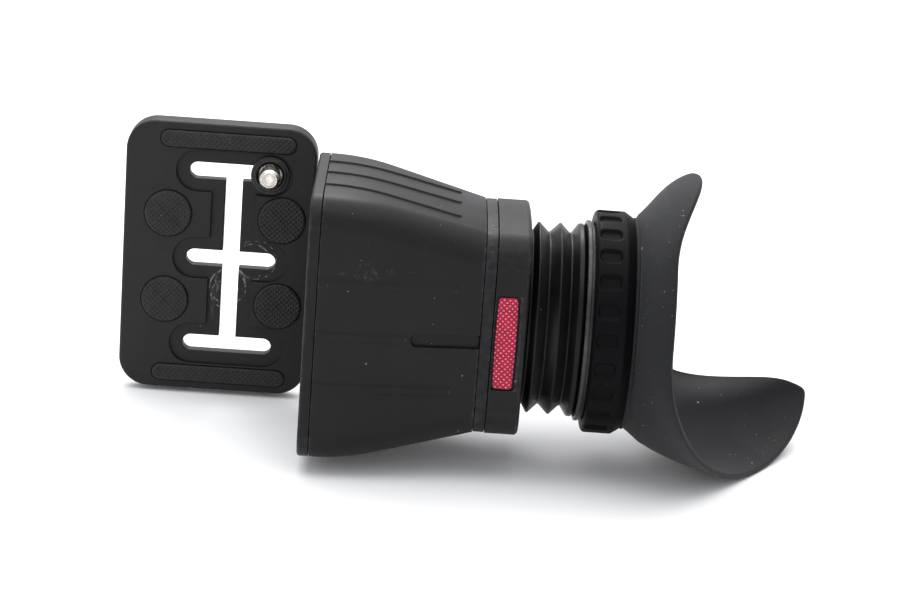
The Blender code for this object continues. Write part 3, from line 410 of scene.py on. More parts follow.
def patch_mask(look, x, z, half_x, half_z):
    """Soft oval patch on a face, seen along Y."""
    tree = look.tree
    parts = node(tree, "ShaderNodeSeparateXYZ")
    tree.links.new(look.place, parts.inputs["Vector"])
    across = maths(tree, "DIVIDE", maths(tree, "SUBTRACT", parts.outputs["X"], x * MM), half_x * MM)
    up = maths(tree, "DIVIDE", maths(tree, "SUBTRACT", parts.outputs["Z"], z * MM), half_z * MM)
    squares = maths(tree, "ADD", maths(tree, "MULTIPLY", across, across), maths(tree, "MULTIPLY", up, up))
    return fade(tree, squares, 0.2, 1.0, 1.0, 0.0)


def thread_shade_mask(look):
    """Mask of painted shade on the camera screw's thread, below its bright tip."""
    tree = look.tree
    parts = node(tree, "ShaderNodeSeparateXYZ")
    tree.links.new(look.place, parts.inputs["Vector"])
    tip = span("camera_screw")[0].y
    below = fade(tree, parts.outputs["Y"], (tip + 1.0) * MM, (tip + 1.5) * MM)
    above = fade(tree, parts.outputs["Y"], (PLATE_FACE + 1.0) * MM, (PLATE_FACE + 1.2) * MM, 1.0, 0.0)
    along = maths(tree, "MULTIPLY", below, above)
    return maths(tree, "MULTIPLY", along, patch_mask(look, STUD.x, STUD.z, 7.0, 7.0))


def hood_material():
    """Soft matte black plastic with a dusty smear on its side."""
    look = Look("hood_plastic", (0.0070, 0.0070, 0.0075), 0.42, specular=0.17)
    look.mottle(38.0, 0.90, 1.12).rough(60.0, 0.39, 0.46)
    smear = maths(look.tree, "MULTIPLY", patch_mask(look, 17.0, 20.0, 11.0, 3.4),
                  fade(look.tree, noise(look.tree, look.place, 520.0, 5.0, 0.75), 0.52, 0.70))
    look.paint(smear, (0.12, 0.12, 0.13), 0.30)
    look.wear((0.07, 0.07, 0.075), 0.35).dust(share=0.4, strength=0.6)
    return look.bump(5200.0, 0.010, 2.0).bump(900.0, 0.006).done()


def plate_material():
    """Fine matte black with rubbed circles round the slots."""
    look = Look("plate_black", (0.0112, 0.0110, 0.0117), 0.5, specular=0.24)
    look.mottle(170.0, 0.94, 1.07).rough(240.0, 0.46, 0.52)
    for x, z, radius, width in PLATE_SCUFFS:
        look.paint(circle_scuff(look, x, z, radius, width), (0.42, 0.42, 0.44), 0.62)
    grain = noise(look.tree, look.place, 300.0, 5.0, 0.75, (2.2, 1.0, 0.5))
    smear = maths(look.tree, "MULTIPLY", patch_mask(look, -30.5, -13.0, 1.8, 9.0),
                  fade(look.tree, grain, 0.5, 0.72))
    look.paint(smear, (0.3, 0.3, 0.32), 0.35).dust(260.0, strength=0.22)
    return look.bump(4800.0, 0.012, 2.0).bump(700.0, 0.005).done()


def make_materials():
    """Every finish, by the record's slot name."""
    looks = {"hood_plastic": hood_material(), "plate_black": plate_material()}

    pad = Look("pad_rubber", (0.0150, 0.0150, 0.0156), 0.6, specular=0.3)
    pad.mottle(160.0, 0.88, 1.14).wear((0.06, 0.06, 0.06), 0.2)
    looks["pad_rubber"] = pad.dust(500.0, strength=0.3).bump(3600.0, 0.02).done()

    foam = Look("gasket_foam", (0.018, 0.018, 0.018), 0.92, specular=0.2)
    # Painted shade: the pores are painted near black, besides being sunk by the relief.
    shaded_pores = specks(foam.tree, foam.place, 1700.0, 0.42, 0.8)
    foam.paint(shaded_pores, (0.004, 0.004, 0.004)).relief(shaded_pores, -0.10)
    looks["gasket_foam"] = foam.bump(2600.0, 0.05).done()

    liner = Look("liner_black", (0.008, 0.008, 0.0085), 0.78, specular=0.25)
    looks["liner_black"] = liner.mottle(120.0, 0.8, 1.3).dust(strength=0.3).bump(3000.0, 0.02).done()

    bellows = Look("bellows_rubber", (0.0030, 0.0030, 0.0034), 0.34, specular=0.17)
    bellows.mottle(90.0, 0.8, 1.3).rough(140.0, 0.28, 0.42).dust(300.0, strength=0.25)
    looks["bellows_rubber"] = bellows.bump(2400.0, 0.006).bump(260.0, 0.02, 2.0, (0.6, 1.0, 1.0)).done()

    cup = Look("eyecup_rubber", (0.0104, 0.0107, 0.0118), 0.7, specular=0.18,
               Sheen_Weight=0.08, Sheen_Roughness=0.5)
    cup.mottle(26.0, 0.93, 1.08).rough(50.0, 0.68, 0.78)
    cup.dust(260.0, 0.11, 0.9, (0.36, 0.35, 0.34), 0.85)
    cup.dust(700.0, 0.16, 0.35, (0.16, 0.16, 0.16), 0.5)
    looks["eyecup_rubber"] = cup.bump(4200.0, 0.008).bump(120.0, 0.03).done()

    grip = Look("grip_rubber", (0.0022, 0.0024, 0.0028), 0.5, specular=0.06)
    grip.mottle(60.0, 0.9, 1.12).rough(90.0, 0.45, 0.56)
    looks["grip_rubber"] = grip.dust(300.0, strength=0.35).bump(3800.0, 0.012).done()

    satin = Look("satin_ring", (0.040, 0.040, 0.039), 0.34, metallic=0.7, specular=0.4, Anisotropic=0.4)
    satin.mottle(200.0, 0.8, 1.2, (6.0, 0.6, 0.6)).rough(300.0, 0.28, 0.42)
    satin.wear((0.15, 0.15, 0.145), 0.4)
    looks["satin_ring"] = satin.bump(1500.0, 0.004, 2.0, (8.0, 0.4, 0.4)).done()

    weave = Look("woven_crimson", (0.30, 0.006, 0.030), 0.66, specular=0.32,
                 Sheen_Weight=0.22, Sheen_Roughness=0.4)
    weave.mottle(350.0, 0.78, 1.2)
    # Painted light and shade: raised thread tops are painted a lighter crimson, the valleys stay dark.
    lit_thread_tops = fade(weave.tree, attribute(weave.tree, "raised"), 0.45, 0.95)
    weave.paint(lit_thread_tops, (0.66, 0.07, 0.15), 0.85)
    # Painted highlights: pink dots on the highest thread points.
    glint_dots = fade(weave.tree, attribute(weave.tree, "raised"), 0.86, 1.0)
    weave.paint(maths(weave.tree, "MULTIPLY", glint_dots, fade(weave.tree, noise(weave.tree, weave.place, 700.0),
                                                         0.3, 0.5)), (0.92, 0.40, 0.50), 0.75)
    looks["woven_crimson"] = weave.bump(9000.0, 0.02, 2.0).done()

    steel = Look("steel", (0.66, 0.63, 0.58), 0.26, metallic=1.0, Anisotropic=0.3)
    steel.mottle(500.0, 0.82, 1.12).rough(700.0, 0.18, 0.36)
    stains = fade(steel.tree, noise(steel.tree, steel.place, 900.0, 5.0, 0.7), 0.58, 0.72)
    steel.paint(stains, (0.34, 0.30, 0.25), 0.45)
    # Painted shade: the screw's thread below its bright tip is painted near black.
    looks["steel"] = steel.paint(thread_shade_mask(steel), (0.03, 0.028, 0.026), 0.94).bump(4000.0, 0.004).done()

    magnet = Look("magnet", (0.60, 0.60, 0.60), 0.22, metallic=1.0)
    looks["magnet"] = magnet.mottle(400.0, 0.85, 1.1).rough(600.0, 0.16, 0.3).bump(3000.0, 0.003).done()

    washer = Look("washer_black", (0.006, 0.006, 0.006), 0.24, specular=0.3, Coat_Weight=0.06,
                  Coat_Roughness=0.15)
    washer.mottle(400.0, 0.7, 1.5).rough(500.0, 0.2, 0.36).wear((0.08, 0.08, 0.08), 0.4)
    looks["washer_black"] = washer.dust(700.0, strength=0.5).bump(1600.0, 0.01).done()

    glass = Look("lens_glass", (0.96, 0.98, 0.97), 0.0, specular=0.5, Transmission_Weight=1.0, IOR=1.52,
                 Thin_Film_Thickness=390.0, Thin_Film_IOR=1.38)
    glass.roughness = fade(glass.tree, noise(glass.tree, glass.place, 120.0, 4.0), 0.5, 0.8, 0.0, 0.02)
    looks["lens_glass"] = glass.done()
    return looks


# ---------------------------------------------------------------- mesh helpers
def add_piece(name, stands_for, body, slot, points, faces, smooth=32.0):
    """Make a mesh piece at the optical axis, in the finish of its slot."""
    mesh = bpy.data.meshes.new(name)
    mesh.from_pydata((np.asarray(points, float) * MM).tolist(), [], faces)
    bm = bmesh.new()
    bm.from_mesh(mesh)
    bmesh.ops.remove_doubles(bm, verts=bm.verts, dist=0.002 * MM)
    bmesh.ops.recalc_face_normals(bm, faces=bm.faces)
    bm.to_mesh(mesh)
    bm.free()
    made = bpy.data.objects.new(name, mesh)
    bpy.context.scene.collection.objects.link(made)
    made.location = AXIS
    finish_mesh(made, smooth)
    if slot:
        dress(made, stands_for, body, slot)
    return made


def dress(made, stands_for, body, slot):
    """Give a piece its finish and body, and hide the CAD nodes that it stands for."""
    made.data.materials.clear()
    made.data.materials.append(LOOKS[slot])
    if body:
        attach(made, body)
    if stands_for:
        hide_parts(*stands_for)


def finish_mesh(made, smooth):
    """Shade smooth up to an angle, and record how convex the edges are."""
    mesh = made.data
    bm = bmesh.new()
    bm.from_mesh(mesh)
    bm.verts.ensure_lookup_table()
    convex = np.zeros(len(bm.verts))
    for edge in bm.edges:
        if len(edge.link_faces) == 2 and edge.is_convex:
            angle = edge.calc_face_angle(0.0)
            for vert in edge.verts:
                convex[vert.index] += angle
    bm.free()
    layer = mesh.attributes.get("edge") or mesh.attributes.new("edge", "FLOAT", "POINT")
    layer.data.foreach_set("value", np.clip(convex, 0.0, 2.0).astype(np.float32))
    mesh.shade_smooth()
    mesh.set_sharp_from_angle(angle=math.radians(smooth))
    if not made.modifiers:
        weighted = made.modifiers.new("weighted", "WEIGHTED_NORMAL")
        weighted.keep_sharp = True


def grid_faces(rows, columns, around=True, closed=False):
    """Quads of a grid whose columns may run round, and whose last row may join the first."""
    faces = []
    for i in range(rows if closed else rows - 1):
        low = i * columns
        high = ((i + 1) % rows) * columns
        for j in range(columns if around else columns - 1):
            k = (j + 1) % columns
            faces.append((low + j, low + k, high + k, high + j))
    return faces


def loft(name, stands_for, body, slot, rows, closed=True, smooth=32.0):
    """Skin equal-length rows: closed joins the last row to the first, otherwise the ends are capped."""
    points = np.asarray(rows, float)
    count = points.shape[1]
    faces = grid_faces(len(points), count, closed=closed)
    if not closed:
        last = (len(points) - 1) * count
        faces.append(tuple(range(count)))
        faces.append(tuple(range(last + count - 1, last - 1, -1)))
    return add_piece(name, stands_for, body, slot, points.reshape(-1, 3), faces, smooth)


def fillet(corners, steps=5):
    """Closed polygon whose (x, y, radius) corners are rounded by arcs."""
    points = []
    before = corners[-1:] + corners[:-1]
    after = corners[1:] + corners[:1]
    for (x0, y0, *_), (x1, y1, radius), (x2, y2, *_) in zip(before, corners, after):
        here = Vector((x1, y1))
        back = Vector((x0, y0)) - here
        ahead = Vector((x2, y2)) - here
        half = back.angle(ahead) / 2
        if radius <= 0 or half > math.pi / 2 - 0.01:
            points.append((x1, y1))
            continue
        cut = min(radius / math.tan(half), 0.49 * back.length, 0.49 * ahead.length)
        radius = cut * math.tan(half)
        back.normalize()
        ahead.normalize()
        centre = here + (back + ahead).normalized() * radius / math.sin(half)
        start = here + back * cut - centre
        end = here + ahead * cut - centre
        turn = math.atan2(start.x * end.y - start.y * end.x, start.dot(end))
        for step in range(steps + 1):
            angle = turn * step / steps
            points.append((centre.x + start.x * math.cos(angle) - start.y * math.sin(angle),
                           centre.y + start.x * math.sin(angle) + start.y * math.cos(angle)))
    return points


def turned(name, stands_for, body, slot, corners, steps=144, fine=4, smooth=32.0):
    """Turn a closed profile of (station, radius, fillet) corners about the optical axis."""
    profile = fillet([tuple(c) if len(c) == 3 else (*c, 0.0) for c in corners], fine)
    return turned_points(name, stands_for, body, slot, profile, steps, smooth)


def turned_points(name, stands_for, body, slot, profile, steps=144, smooth=32.0, closed=True):
    """Turn a profile of (station, radius) points; points on the axis become poles."""
    angles = np.arange(steps) * 2 * math.pi / steps
    rows = [np.stack([np.full(steps, x), r * np.sin(angles), -r * np.cos(angles)], axis=1)
            for x, r in profile]
    points = np.concatenate(rows)
    return add_piece(name, stands_for, body, slot, points, grid_faces(len(rows), steps, closed=closed),
                     smooth)


def apply_all(made):
    """Replace a piece's mesh by its evaluated one."""
    depsgraph = bpy.context.evaluated_depsgraph_get()
    depsgraph.update()
    mesh = bpy.data.meshes.new_from_object(made.evaluated_get(depsgraph))
    made.modifiers.clear()
    made.data = mesh


def join(target, tool, operation="DIFFERENCE"):
    """Cut a tool out of a target, or unite them, and remove the tool."""
    target.modifiers.clear()
    tool.modifiers.clear()
    modifier = target.modifiers.new("cut", "BOOLEAN")
    modifier.object = tool
    modifier.operation = operation
    modifier.solver = "EXACT"
    apply_all(target)
    bpy.data.objects.remove(tool)
    return target


def rod_rows(radius, low, high, axis, centre, steps=40, edge=0.0):
    """Rows of a cylinder along X, Y or Z; centre holds the other two coordinates in order."""
    levels = [(low, radius - edge), (low + edge, radius), (high - edge, radius), (high, radius - edge)]
    if edge == 0.0:
        levels = [(low, radius), (high, radius)]
    rows = []
    for along, r in levels:
        row = []
        for step in range(steps):
            a = centre[0] + r * math.cos(2 * math.pi * step / steps)
            b = centre[1] + r * math.sin(2 * math.pi * step / steps)
            row.append({"X": (along, a, b), "Y": (a, along, b), "Z": (a, b, along)}[axis])
        rows.append(row)
    return rows


def rod(name, radius, low, high, axis, centre, steps=40, edge=0.0):
    """Bare cylinder, a tool for cutting or joining."""
    return loft(name, (), None, None, rod_rows(radius, low, high, axis, centre, steps, edge), closed=False)


def rounded_rectangle(half_x, half_z, radius, steps=10, x=0.0, z=0.0):
    """Outline of a rounded rectangle as (x, z) points."""
    points = []
    for sign_x, sign_z, start in ((1, 1, 0), (-1, 1, 90), (-1, -1, 180), (1, -1, 270)):
        for step in range(steps + 1):
            angle = math.radians(start + 90 * step / steps)
            points.append((x + sign_x * (half_x - radius) + radius * math.cos(angle),
                           z + sign_z * (half_z - radius) + radius * math.sin(angle)))
    return points


def prism(name, shape, levels):
    """Bare prism along Y: shape(grow) gives an (x, z) outline, and levels are (y, grow) pairs."""
    rows = [[(x, y, z) for x, z in shape(grow)] for y, grow in levels]
    return loft(name, (), None, None, rows, closed=False)


def rounded_block(name, low, high, edge):
    """Bare block with softened edges."""
    half_x = (high[0] - low[0]) / 2
    half_z = (high[2] - low[2]) / 2
    middle_x = (high[0] + low[0]) / 2
    middle_z = (high[2] + low[2]) / 2
    edge = max(edge, 0.01)

    def shape(grow):
        return rounded_rectangle(half_x + grow, half_z + grow, edge + 0.3 + grow, 4, middle_x, middle_z)
    return prism(name, shape, edge_levels(low[1], high[1], edge))


def edge_levels(low, high, edge, steps=4):
    """Levels of a prism whose rims are rounded."""
    turns = [math.pi / 2 * step / steps for step in range(steps + 1)]
    start = [(low + edge * (1 - math.sin(t)), -edge * (1 - math.cos(t))) for t in reversed(turns)]
    end = [(high - edge * (1 - math.sin(t)), -edge * (1 - math.cos(t))) for t in turns]
    return start + end


# ---------------------------------------------------------------- hood, frame and collar
def smooth_step(value):
    """0 to 1 with soft ends."""
    value = np.clip(value, 0.0, 1.0)
    return value * value * (3 - 2 * value)


def taper(x):
    """How far the hood has drawn in at a station: 0 at the frame, 1 at the collar."""
    along = max(0.0, (x - TAPER_START) / (HOOD_REAR - TAPER_START))
    if along < TAPER_EASE:
        return along * along / (2 * TAPER_EASE) / (1 - TAPER_EASE / 2)
    return (along - TAPER_EASE / 2) / (1 - TAPER_EASE / 2)


def outline(half_y, half_z, radius, arch, side_marks, top_marks, corner_steps=14):
    """Rounded rectangle with arched sides, as (y, z, out_y, out_z, face, mark) rows.

    face is 0 and 2 for the far and near sides, 1 and 3 for the top and bottom, -1 for corners.
    """
    run_y = half_y - arch - radius
    run_z = half_z - arch - radius
    rows = []
    for quarter in range(4):
        turn = quarter * math.pi / 2
        c, s = math.cos(turn), math.sin(turn)
        upright = quarter % 2 == 0
        run = run_z if upright else run_y
        flat = (half_y if upright else half_z) - arch
        marks = side_marks if upright else top_marks
        kept = min(SIDE_KEPT if upright else TOP_KEPT, run - 0.5)
        for mark in marks:
            beyond = max(abs(mark) - kept, 0.0) / (marks[-1] - kept) * (run - 0.2 - kept)
            across = math.copysign(min(abs(mark), kept) + beyond, mark)
            out = flat + arch * (1 - (across / run) ** 2)
            rows.append((out * c - across * s, out * s + across * c, c, s, quarter, across))
        for step in range(corner_steps + 1):
            angle = step / corner_steps * math.pi / 2
            a = flat - radius + radius * math.cos(angle)
            b = run + radius * math.sin(angle)
            out_y = math.cos(angle + turn)
            out_z = math.sin(angle + turn)
            rows.append((a * c - b * s, a * s + b * c, out_y, out_z, -1, 0.0))
    return np.array(rows)


def face_marks(half, centres, rib_half):
    """Places across a face, close together where ribs rise."""
    marks = set(np.round(np.linspace(-half, half, 57), 3))
    for centre in centres:
        for side in (-1, 1):
            for step in np.linspace(-1.0, 1.0, 13):
                marks.add(round(centre + side * rib_half + step * 0.6, 3))
                if centre == 0.0:
                    marks.add(round(side * GROOVE_HALF + step * 0.3, 3))
    return sorted(m for m in marks if abs(m) <= half)


SIDE_MARKS = face_marks(26.0, SIDE_RIBS, SIDE_RIB_HALF)
TOP_MARKS = face_marks(20.0, TOP_RIBS, RIB_HALF)
SIDE_KEPT = SIDE_RIBS[-1] + RIB_HALF + 0.7
TOP_KEPT = TOP_RIBS[-1] + RIB_HALF + 0.7


def stadium(x, across, end, half):
    """Distance outside a bar that runs along X and ends round, negative inside it."""
    beyond = np.maximum(x - (end - half), 0.0)
    return np.hypot(beyond, across) - half


def hood_outline(x, inset, ribs=False):
    """Points of the hood's section at a station."""
    k = taper(x)
    half_y = (FRAME_DEPTH / 2 + HOOD_SWELL) * (1 - k) + COLLAR_DEPTH / 2 * k - inset
    half_z = (FRAME_HEIGHT / 2 + HOOD_SWELL) * (1 - k) + COLLAR_HEIGHT / 2 * k - inset
    radius = FRAME_RADIUS * (1 - k) + COLLAR_RADIUS * k - inset * 0.8
    arch = HOOD_SWELL * (1 - k) + COLLAR_ARCH * k
    rows = outline(half_y, half_z, radius, arch, SIDE_MARKS, TOP_MARKS)
    lift = np.zeros(len(rows))
    if ribs:
        for index, (_, _, _, _, face, across) in enumerate(rows):
            if face >= 0:
                lift[index] = rib_lift(x, across, face)
    y = rows[:, 0] + rows[:, 2] * lift
    z = rows[:, 1] + rows[:, 3] * lift
    return np.stack([np.full(len(rows), x), y, z], axis=1)


def rib_lift(x, across, face):
    """Height of ribs and groove at a point of a face."""
    lift = 0.0
    upright = face % 2 == 0
    for centre in SIDE_RIBS if upright else TOP_RIBS:
        end = RIB_END_MIDDLE if upright and centre == 0.0 else RIB_END
        half = SIDE_RIB_HALF if upright else RIB_HALF
        slope = SIDE_RIB_SLOPE if upright else RIB_SLOPE
        off = stadium(x, across - centre, end, half)
        high = SIDE_RIB_HIGH if upright else RIB_HIGH
        lift = max(lift, high * (1 - smooth_step(off / slope + 0.5)))
    if upright:
        off = stadium(-x, across, -GROOVE_START, GROOVE_HALF)
        lift -= GROOVE_DEEP * (1 - smooth_step(off / 0.3 + 0.5))
    return float(lift)


def hood_stations():
    """Stations along the hood, close together where ribs and groove end."""
    stations = set(np.round(np.linspace(HOOD_FRONT + HOOD_EDGE, HOOD_REAR - SEAM_EDGE, 54), 3))
    for centre, spread in ((RIB_END - 0.6, 1.4), (RIB_END_MIDDLE - 0.6, 1.4), (GROOVE_START + 0.9, 1.3)):
        stations |= set(np.round(np.linspace(centre - spread, centre + spread, 15), 3))
    return sorted(stations)


def edge_rounding(start, end, edge_start, edge_end, steps=4):
    """(station, inset) pairs of a section whose two rims are rounded."""
    turns = [math.pi / 2 * step / steps for step in range(steps + 1)]
    pairs = [(start + edge_start * (1 - math.sin(t)), edge_start * (1 - math.cos(t)))
             for t in reversed(turns)]
    pairs += [(end - edge_end * (1 - math.sin(t)), edge_end * (1 - math.cos(t))) for t in turns]
    return pairs


def circle_row(like, radius, x):
    """Circle at a station with points at the same polar angles as a row's."""
    angles = np.arctan2(like[:, 2], like[:, 1])
    return np.stack([np.full(len(like), x), radius * np.cos(angles), radius * np.sin(angles)], axis=1)


def make_housing():
    """Ribbed hood with a groove on each side."""
    rows = []
    for x, inset in edge_rounding(HOOD_FRONT, HOOD_REAR, HOOD_EDGE, SEAM_EDGE)[:4]:
        rows.append(hood_outline(x, inset, ribs=inset < 0.2))
    rows += [hood_outline(x, 0.0, ribs=True) for x in hood_stations()]
    for x, inset in edge_rounding(HOOD_FRONT, HOOD_REAR, HOOD_EDGE, SEAM_EDGE)[-3:]:
        rows.append(hood_outline(x, inset, ribs=True))
    rear = rows[-1]
    inside = HOOD_REAR - REAR_WALL
    rows.append(circle_row(rear, HOOD_BORE + 0.2, HOOD_REAR))
    rows.append(circle_row(rear, HOOD_BORE, HOOD_REAR - 0.2))
    rows.append(circle_row(rear, HOOD_BORE, inside))
    flange_end = HOOD_FRONT + HOOD_FLANGE
    for x in (inside, 34.0, 20.0, flange_end):
        rows.append(hood_outline(x, HOOD_WALL))
    for x, inset in ((flange_end, 0.0), (HOOD_FRONT + 0.3, 0.0), (HOOD_FRONT, -0.3)):
        rows.append(aperture_row(x, inset))
    made = loft("housing_shell", (), None, None, rows, smooth=40.0)
    for index, (y, z) in enumerate(magnet_places("hood_magnet")):
        join(made, rod(f"pocket_{index}", MAGNET_RADIUS + GAP, HOOD_FRONT - 1.0, HOOD_FRONT + POCKET_DEEP,
                       "X", (y, z)))
    finish_mesh(made, 34.0)
    dress(made, ("housing",), "hood", "hood_plastic")


def aperture_row(x, inset):
    """Row round the screen aperture."""
    rows = outline(APERTURE_DEPTH / 2 - inset, APERTURE_HEIGHT / 2 - inset, APERTURE_RADIUS - inset, 0.0,
                   SIDE_MARKS, TOP_MARKS)
    return np.stack([np.full(len(rows), x), rows[:, 0], rows[:, 1]], axis=1)


def magnet_places(name):
    """Centres of four magnets, from their CAD nodes."""
    return [(middle(f"{name}_{i}").y, middle(f"{name}_{i}").z) for i in range(1, 5)]


def frame_row(x, inset):
    """Row round the outside of the screen frame."""
    rows = outline(FRAME_DEPTH / 2 - inset, FRAME_HEIGHT / 2 - inset, FRAME_RADIUS - inset, 0.0,
                   SIDE_MARKS, TOP_MARKS, 18)
    return np.stack([np.full(len(rows), x), rows[:, 0], rows[:, 1]], axis=1)


def frame_aperture_row(x, inset):
    """Row round the aperture, with as many points as the frame's outer rows."""
    rows = outline(APERTURE_DEPTH / 2 - inset, APERTURE_HEIGHT / 2 - inset, APERTURE_RADIUS - inset, 0.0,
                   SIDE_MARKS, TOP_MARKS, 18)
    return np.stack([np.full(len(rows), x), rows[:, 0], rows[:, 1]], axis=1)


def make_front_frame():
    """Screen frame with its rebate, magnet pockets, hinge lugs and knuckles."""
    rows = [frame_row(x, inset) for x, inset in
            edge_rounding(0.0, FRAME_THICK, FRAME_EDGE, SEAM_EDGE, 5)]
    rows.append(frame_aperture_row(FRAME_THICK, -0.25))
    rows.append(frame_aperture_row(FRAME_THICK - 0.25, 0.0))
    rows.append(frame_aperture_row(REBATE_DEEP, 0.0))
    rows.append(frame_aperture_row(REBATE_DEEP, -REBATE_WIDTH))
    rows.append(frame_aperture_row(0.15, -REBATE_WIDTH))
    rows.append(frame_aperture_row(0.0, -REBATE_WIDTH - 0.15))
    made = loft("screen_frame", (), None, None, rows, smooth=40.0)
    for index, (y, z) in enumerate(magnet_places("frame_magnet")):
        join(made, rod(f"pocket_{index}", MAGNET_RADIUS + GAP, FRAME_THICK - POCKET_DEEP,
                       FRAME_THICK + 1.0, "X", (y, z)))
    for index, (low, high) in enumerate(FRAME_KNUCKLES):
        lug = rounded_block(f"lug_{index}", (0.4, FRAME_DEPTH / 2 - 1.5, low), (2.0, HINGE_Y, high), 0.25)
        join(made, lug, "UNION")
        join(made, rod(f"knuckle_{index}", KNUCKLE_RADIUS, low, high, "Z", (0.0, HINGE_Y), 48, 0.25),
             "UNION")
    join(made, rod("pin_bore", PIN_HOLE, -30.0, 30.0, "Z", (0.0, HINGE_Y), 32))
    finish_mesh(made, 34.0)
    dress(made, ("front_frame",), "frame", "hood_plastic")


def make_gasket():
    """Foam seal in the frame's rebate, with a crowned face."""
    low, high = span("frame_gasket")
    outer = REBATE_WIDTH - GAP
    rows = []
    for share in np.linspace(0.0, 1.0, 9):
        crown = 0.28 * (1 - (2 * share - 1) ** 4)
        rows.append(aperture_row(low.x + 0.28 - crown, -0.05 - (outer - 0.1) * share))
    rows.append(aperture_row(high.x, -outer + 0.05))
    rows.append(aperture_row(high.x, -0.05))
    loft("gasket_foam_ring", ("frame_gasket",), "frame", "gasket_foam", rows, smooth=60.0)


def make_magnets():
    """Disc magnets with bevelled rims, in frame and hood."""
    for name, body in (("frame_magnet", "frame"), ("hood_magnet", "hood")):
        for index in range(1, 5):
            low, high = span(f"{name}_{index}")
            centre = middle(f"{name}_{index}")
            loft(f"{name}_disc_{index}", (f"{name}_{index}",), body, "magnet",
                 rod_rows(MAGNET_RADIUS, low.x, high.x, "X", (centre.y, centre.z), 48, 0.15), closed=False)


def make_liner():
    """Light trap inside the hood, with baffle steps on its inner face."""
    low, high = span("hood_liner")
    stations = np.linspace(low.x, high.x, 12)
    outer = [hood_outline(x, HOOD_WALL + 0.5) for x in stations]
    inner = []
    for x, ahead in zip(stations[:0:-1], stations[-2::-1]):
        inner.append(hood_outline(x, HOOD_WALL + 1.5))
        inner.append(hood_outline(ahead + 0.3, HOOD_WALL + 2.3))
        inner.append(hood_outline(ahead + 0.05, HOOD_WALL + 2.3))
    loft("light_trap", ("hood_liner",), "hood", "liner_black", outer + inner, smooth=25.0)


def collar_row(x, inset):
    """Row round collar or band."""
    rows = outline(COLLAR_DEPTH / 2 - inset, COLLAR_HEIGHT / 2 - inset, COLLAR_RADIUS - inset,
                   COLLAR_ARCH, SIDE_MARKS, TOP_MARKS, 18)
    return np.stack([np.full(len(rows), x), rows[:, 0], rows[:, 1]], axis=1)


def make_band():
    """Thin band between hood and collar, set in a little."""
    rows = [collar_row(x, BAND_INSET * 0.5 + inset) for x, inset in
            edge_rounding(BAND_LOW.x - 0.05, BAND_HIGH.x + 0.05, SEAM_EDGE, SEAM_EDGE, 3)]
    rows.append(circle_row(rows[-1], COLLAR_BORE, BAND_HIGH.x))
    rows.append(circle_row(rows[0], COLLAR_BORE, BAND_LOW.x))
    made = loft("seam_band", (), None, None, rows, smooth=40.0)
    screw_holes(made, BAND_LOW.x - 1.0, BAND_HIGH.x + 1.0, 1.3)
    finish_mesh(made, 34.0)
    dress(made, ("collar_band",), "hood", "hood_plastic")


def screw_holes(made, low, high, radius):
    """Holes at the four collar screws."""
    for index in range(1, 5):
        centre = middle(f"collar_screw_{index}")
        join(made, rod(f"hole_{index}", radius, low, high, "X", (centre.y, centre.z), 32))


def window_shape(grow):
    """Outline of the collar's window."""
    half = (WINDOW_END - WINDOW_START) / 2
    return rounded_rectangle(half + grow, WINDOW_HALF + grow, WINDOW_RADIUS + grow, 6,
                             (WINDOW_START + WINDOW_END) / 2)


def make_collar():
    """Rear collar with a softened rear rim and a window on each side."""
    start, end = COLLAR_LOW.x, COLLAR_HIGH.x
    lip = end - COLLAR_LIP
    rows = [collar_row(x, inset) for x, inset in edge_rounding(start, end, SEAM_EDGE, COLLAR_EDGE, 6)]
    like = rows[-1]
    for x, radius in ((end, HOOD_BORE + 0.3), (end - 0.3, HOOD_BORE), (lip, HOOD_BORE),
                      (lip, COLLAR_BORE), (start, COLLAR_BORE)):
        rows.append(circle_row(like, radius, x))
    made = loft("rear_collar_shell", (), None, None, rows, smooth=40.0)
    for side in (-1, 1):
        face = side * COLLAR_DEPTH / 2
        floor = face - side * WINDOW_DEEP
        levels = [(floor, 0.0), (face - side * 0.35, 0.0), (face - side * 0.05, 0.2), (face + side * 2, 0.2)]
        join(made, prism(f"window_{side}", window_shape, levels))
    screw_holes(made, start - 1.0, end + 1.0, 1.3)
    screw_holes(made, end - 1.6, end + 1.0, 2.2)
    finish_mesh(made, 34.0)
    dress(made, ("rear_collar",), "hood", "hood_plastic")


def woven_height(x, z):
    """Height of a plain weave, 0 to 1, and how far the upright threads come to the top."""
    column = np.floor(x / WEAVE_PITCH)
    row = np.floor(z / WEAVE_PITCH)
    across_x = (x / WEAVE_PITCH - column) * 2 - 1
    across_z = (z / WEAVE_PITCH - row) * 2 - 1
    warp = 0.55 * np.sqrt(np.clip(1 - across_x ** 2, 0, 1)) + 0.45 * np.cos(
        math.pi * (z / WEAVE_PITCH - 0.5 + column))
    weft = 0.55 * np.sqrt(np.clip(1 - across_z ** 2, 0, 1)) + 0.45 * np.cos(
        math.pi * (x / WEAVE_PITCH + 0.5 + row))
    height = np.clip(np.maximum(warp, weft), 0.0, 1.0)
    upper = np.clip(np.where(warp > weft, warp, 0.3 * weft), 0.0, 1.0)
    return height, upper


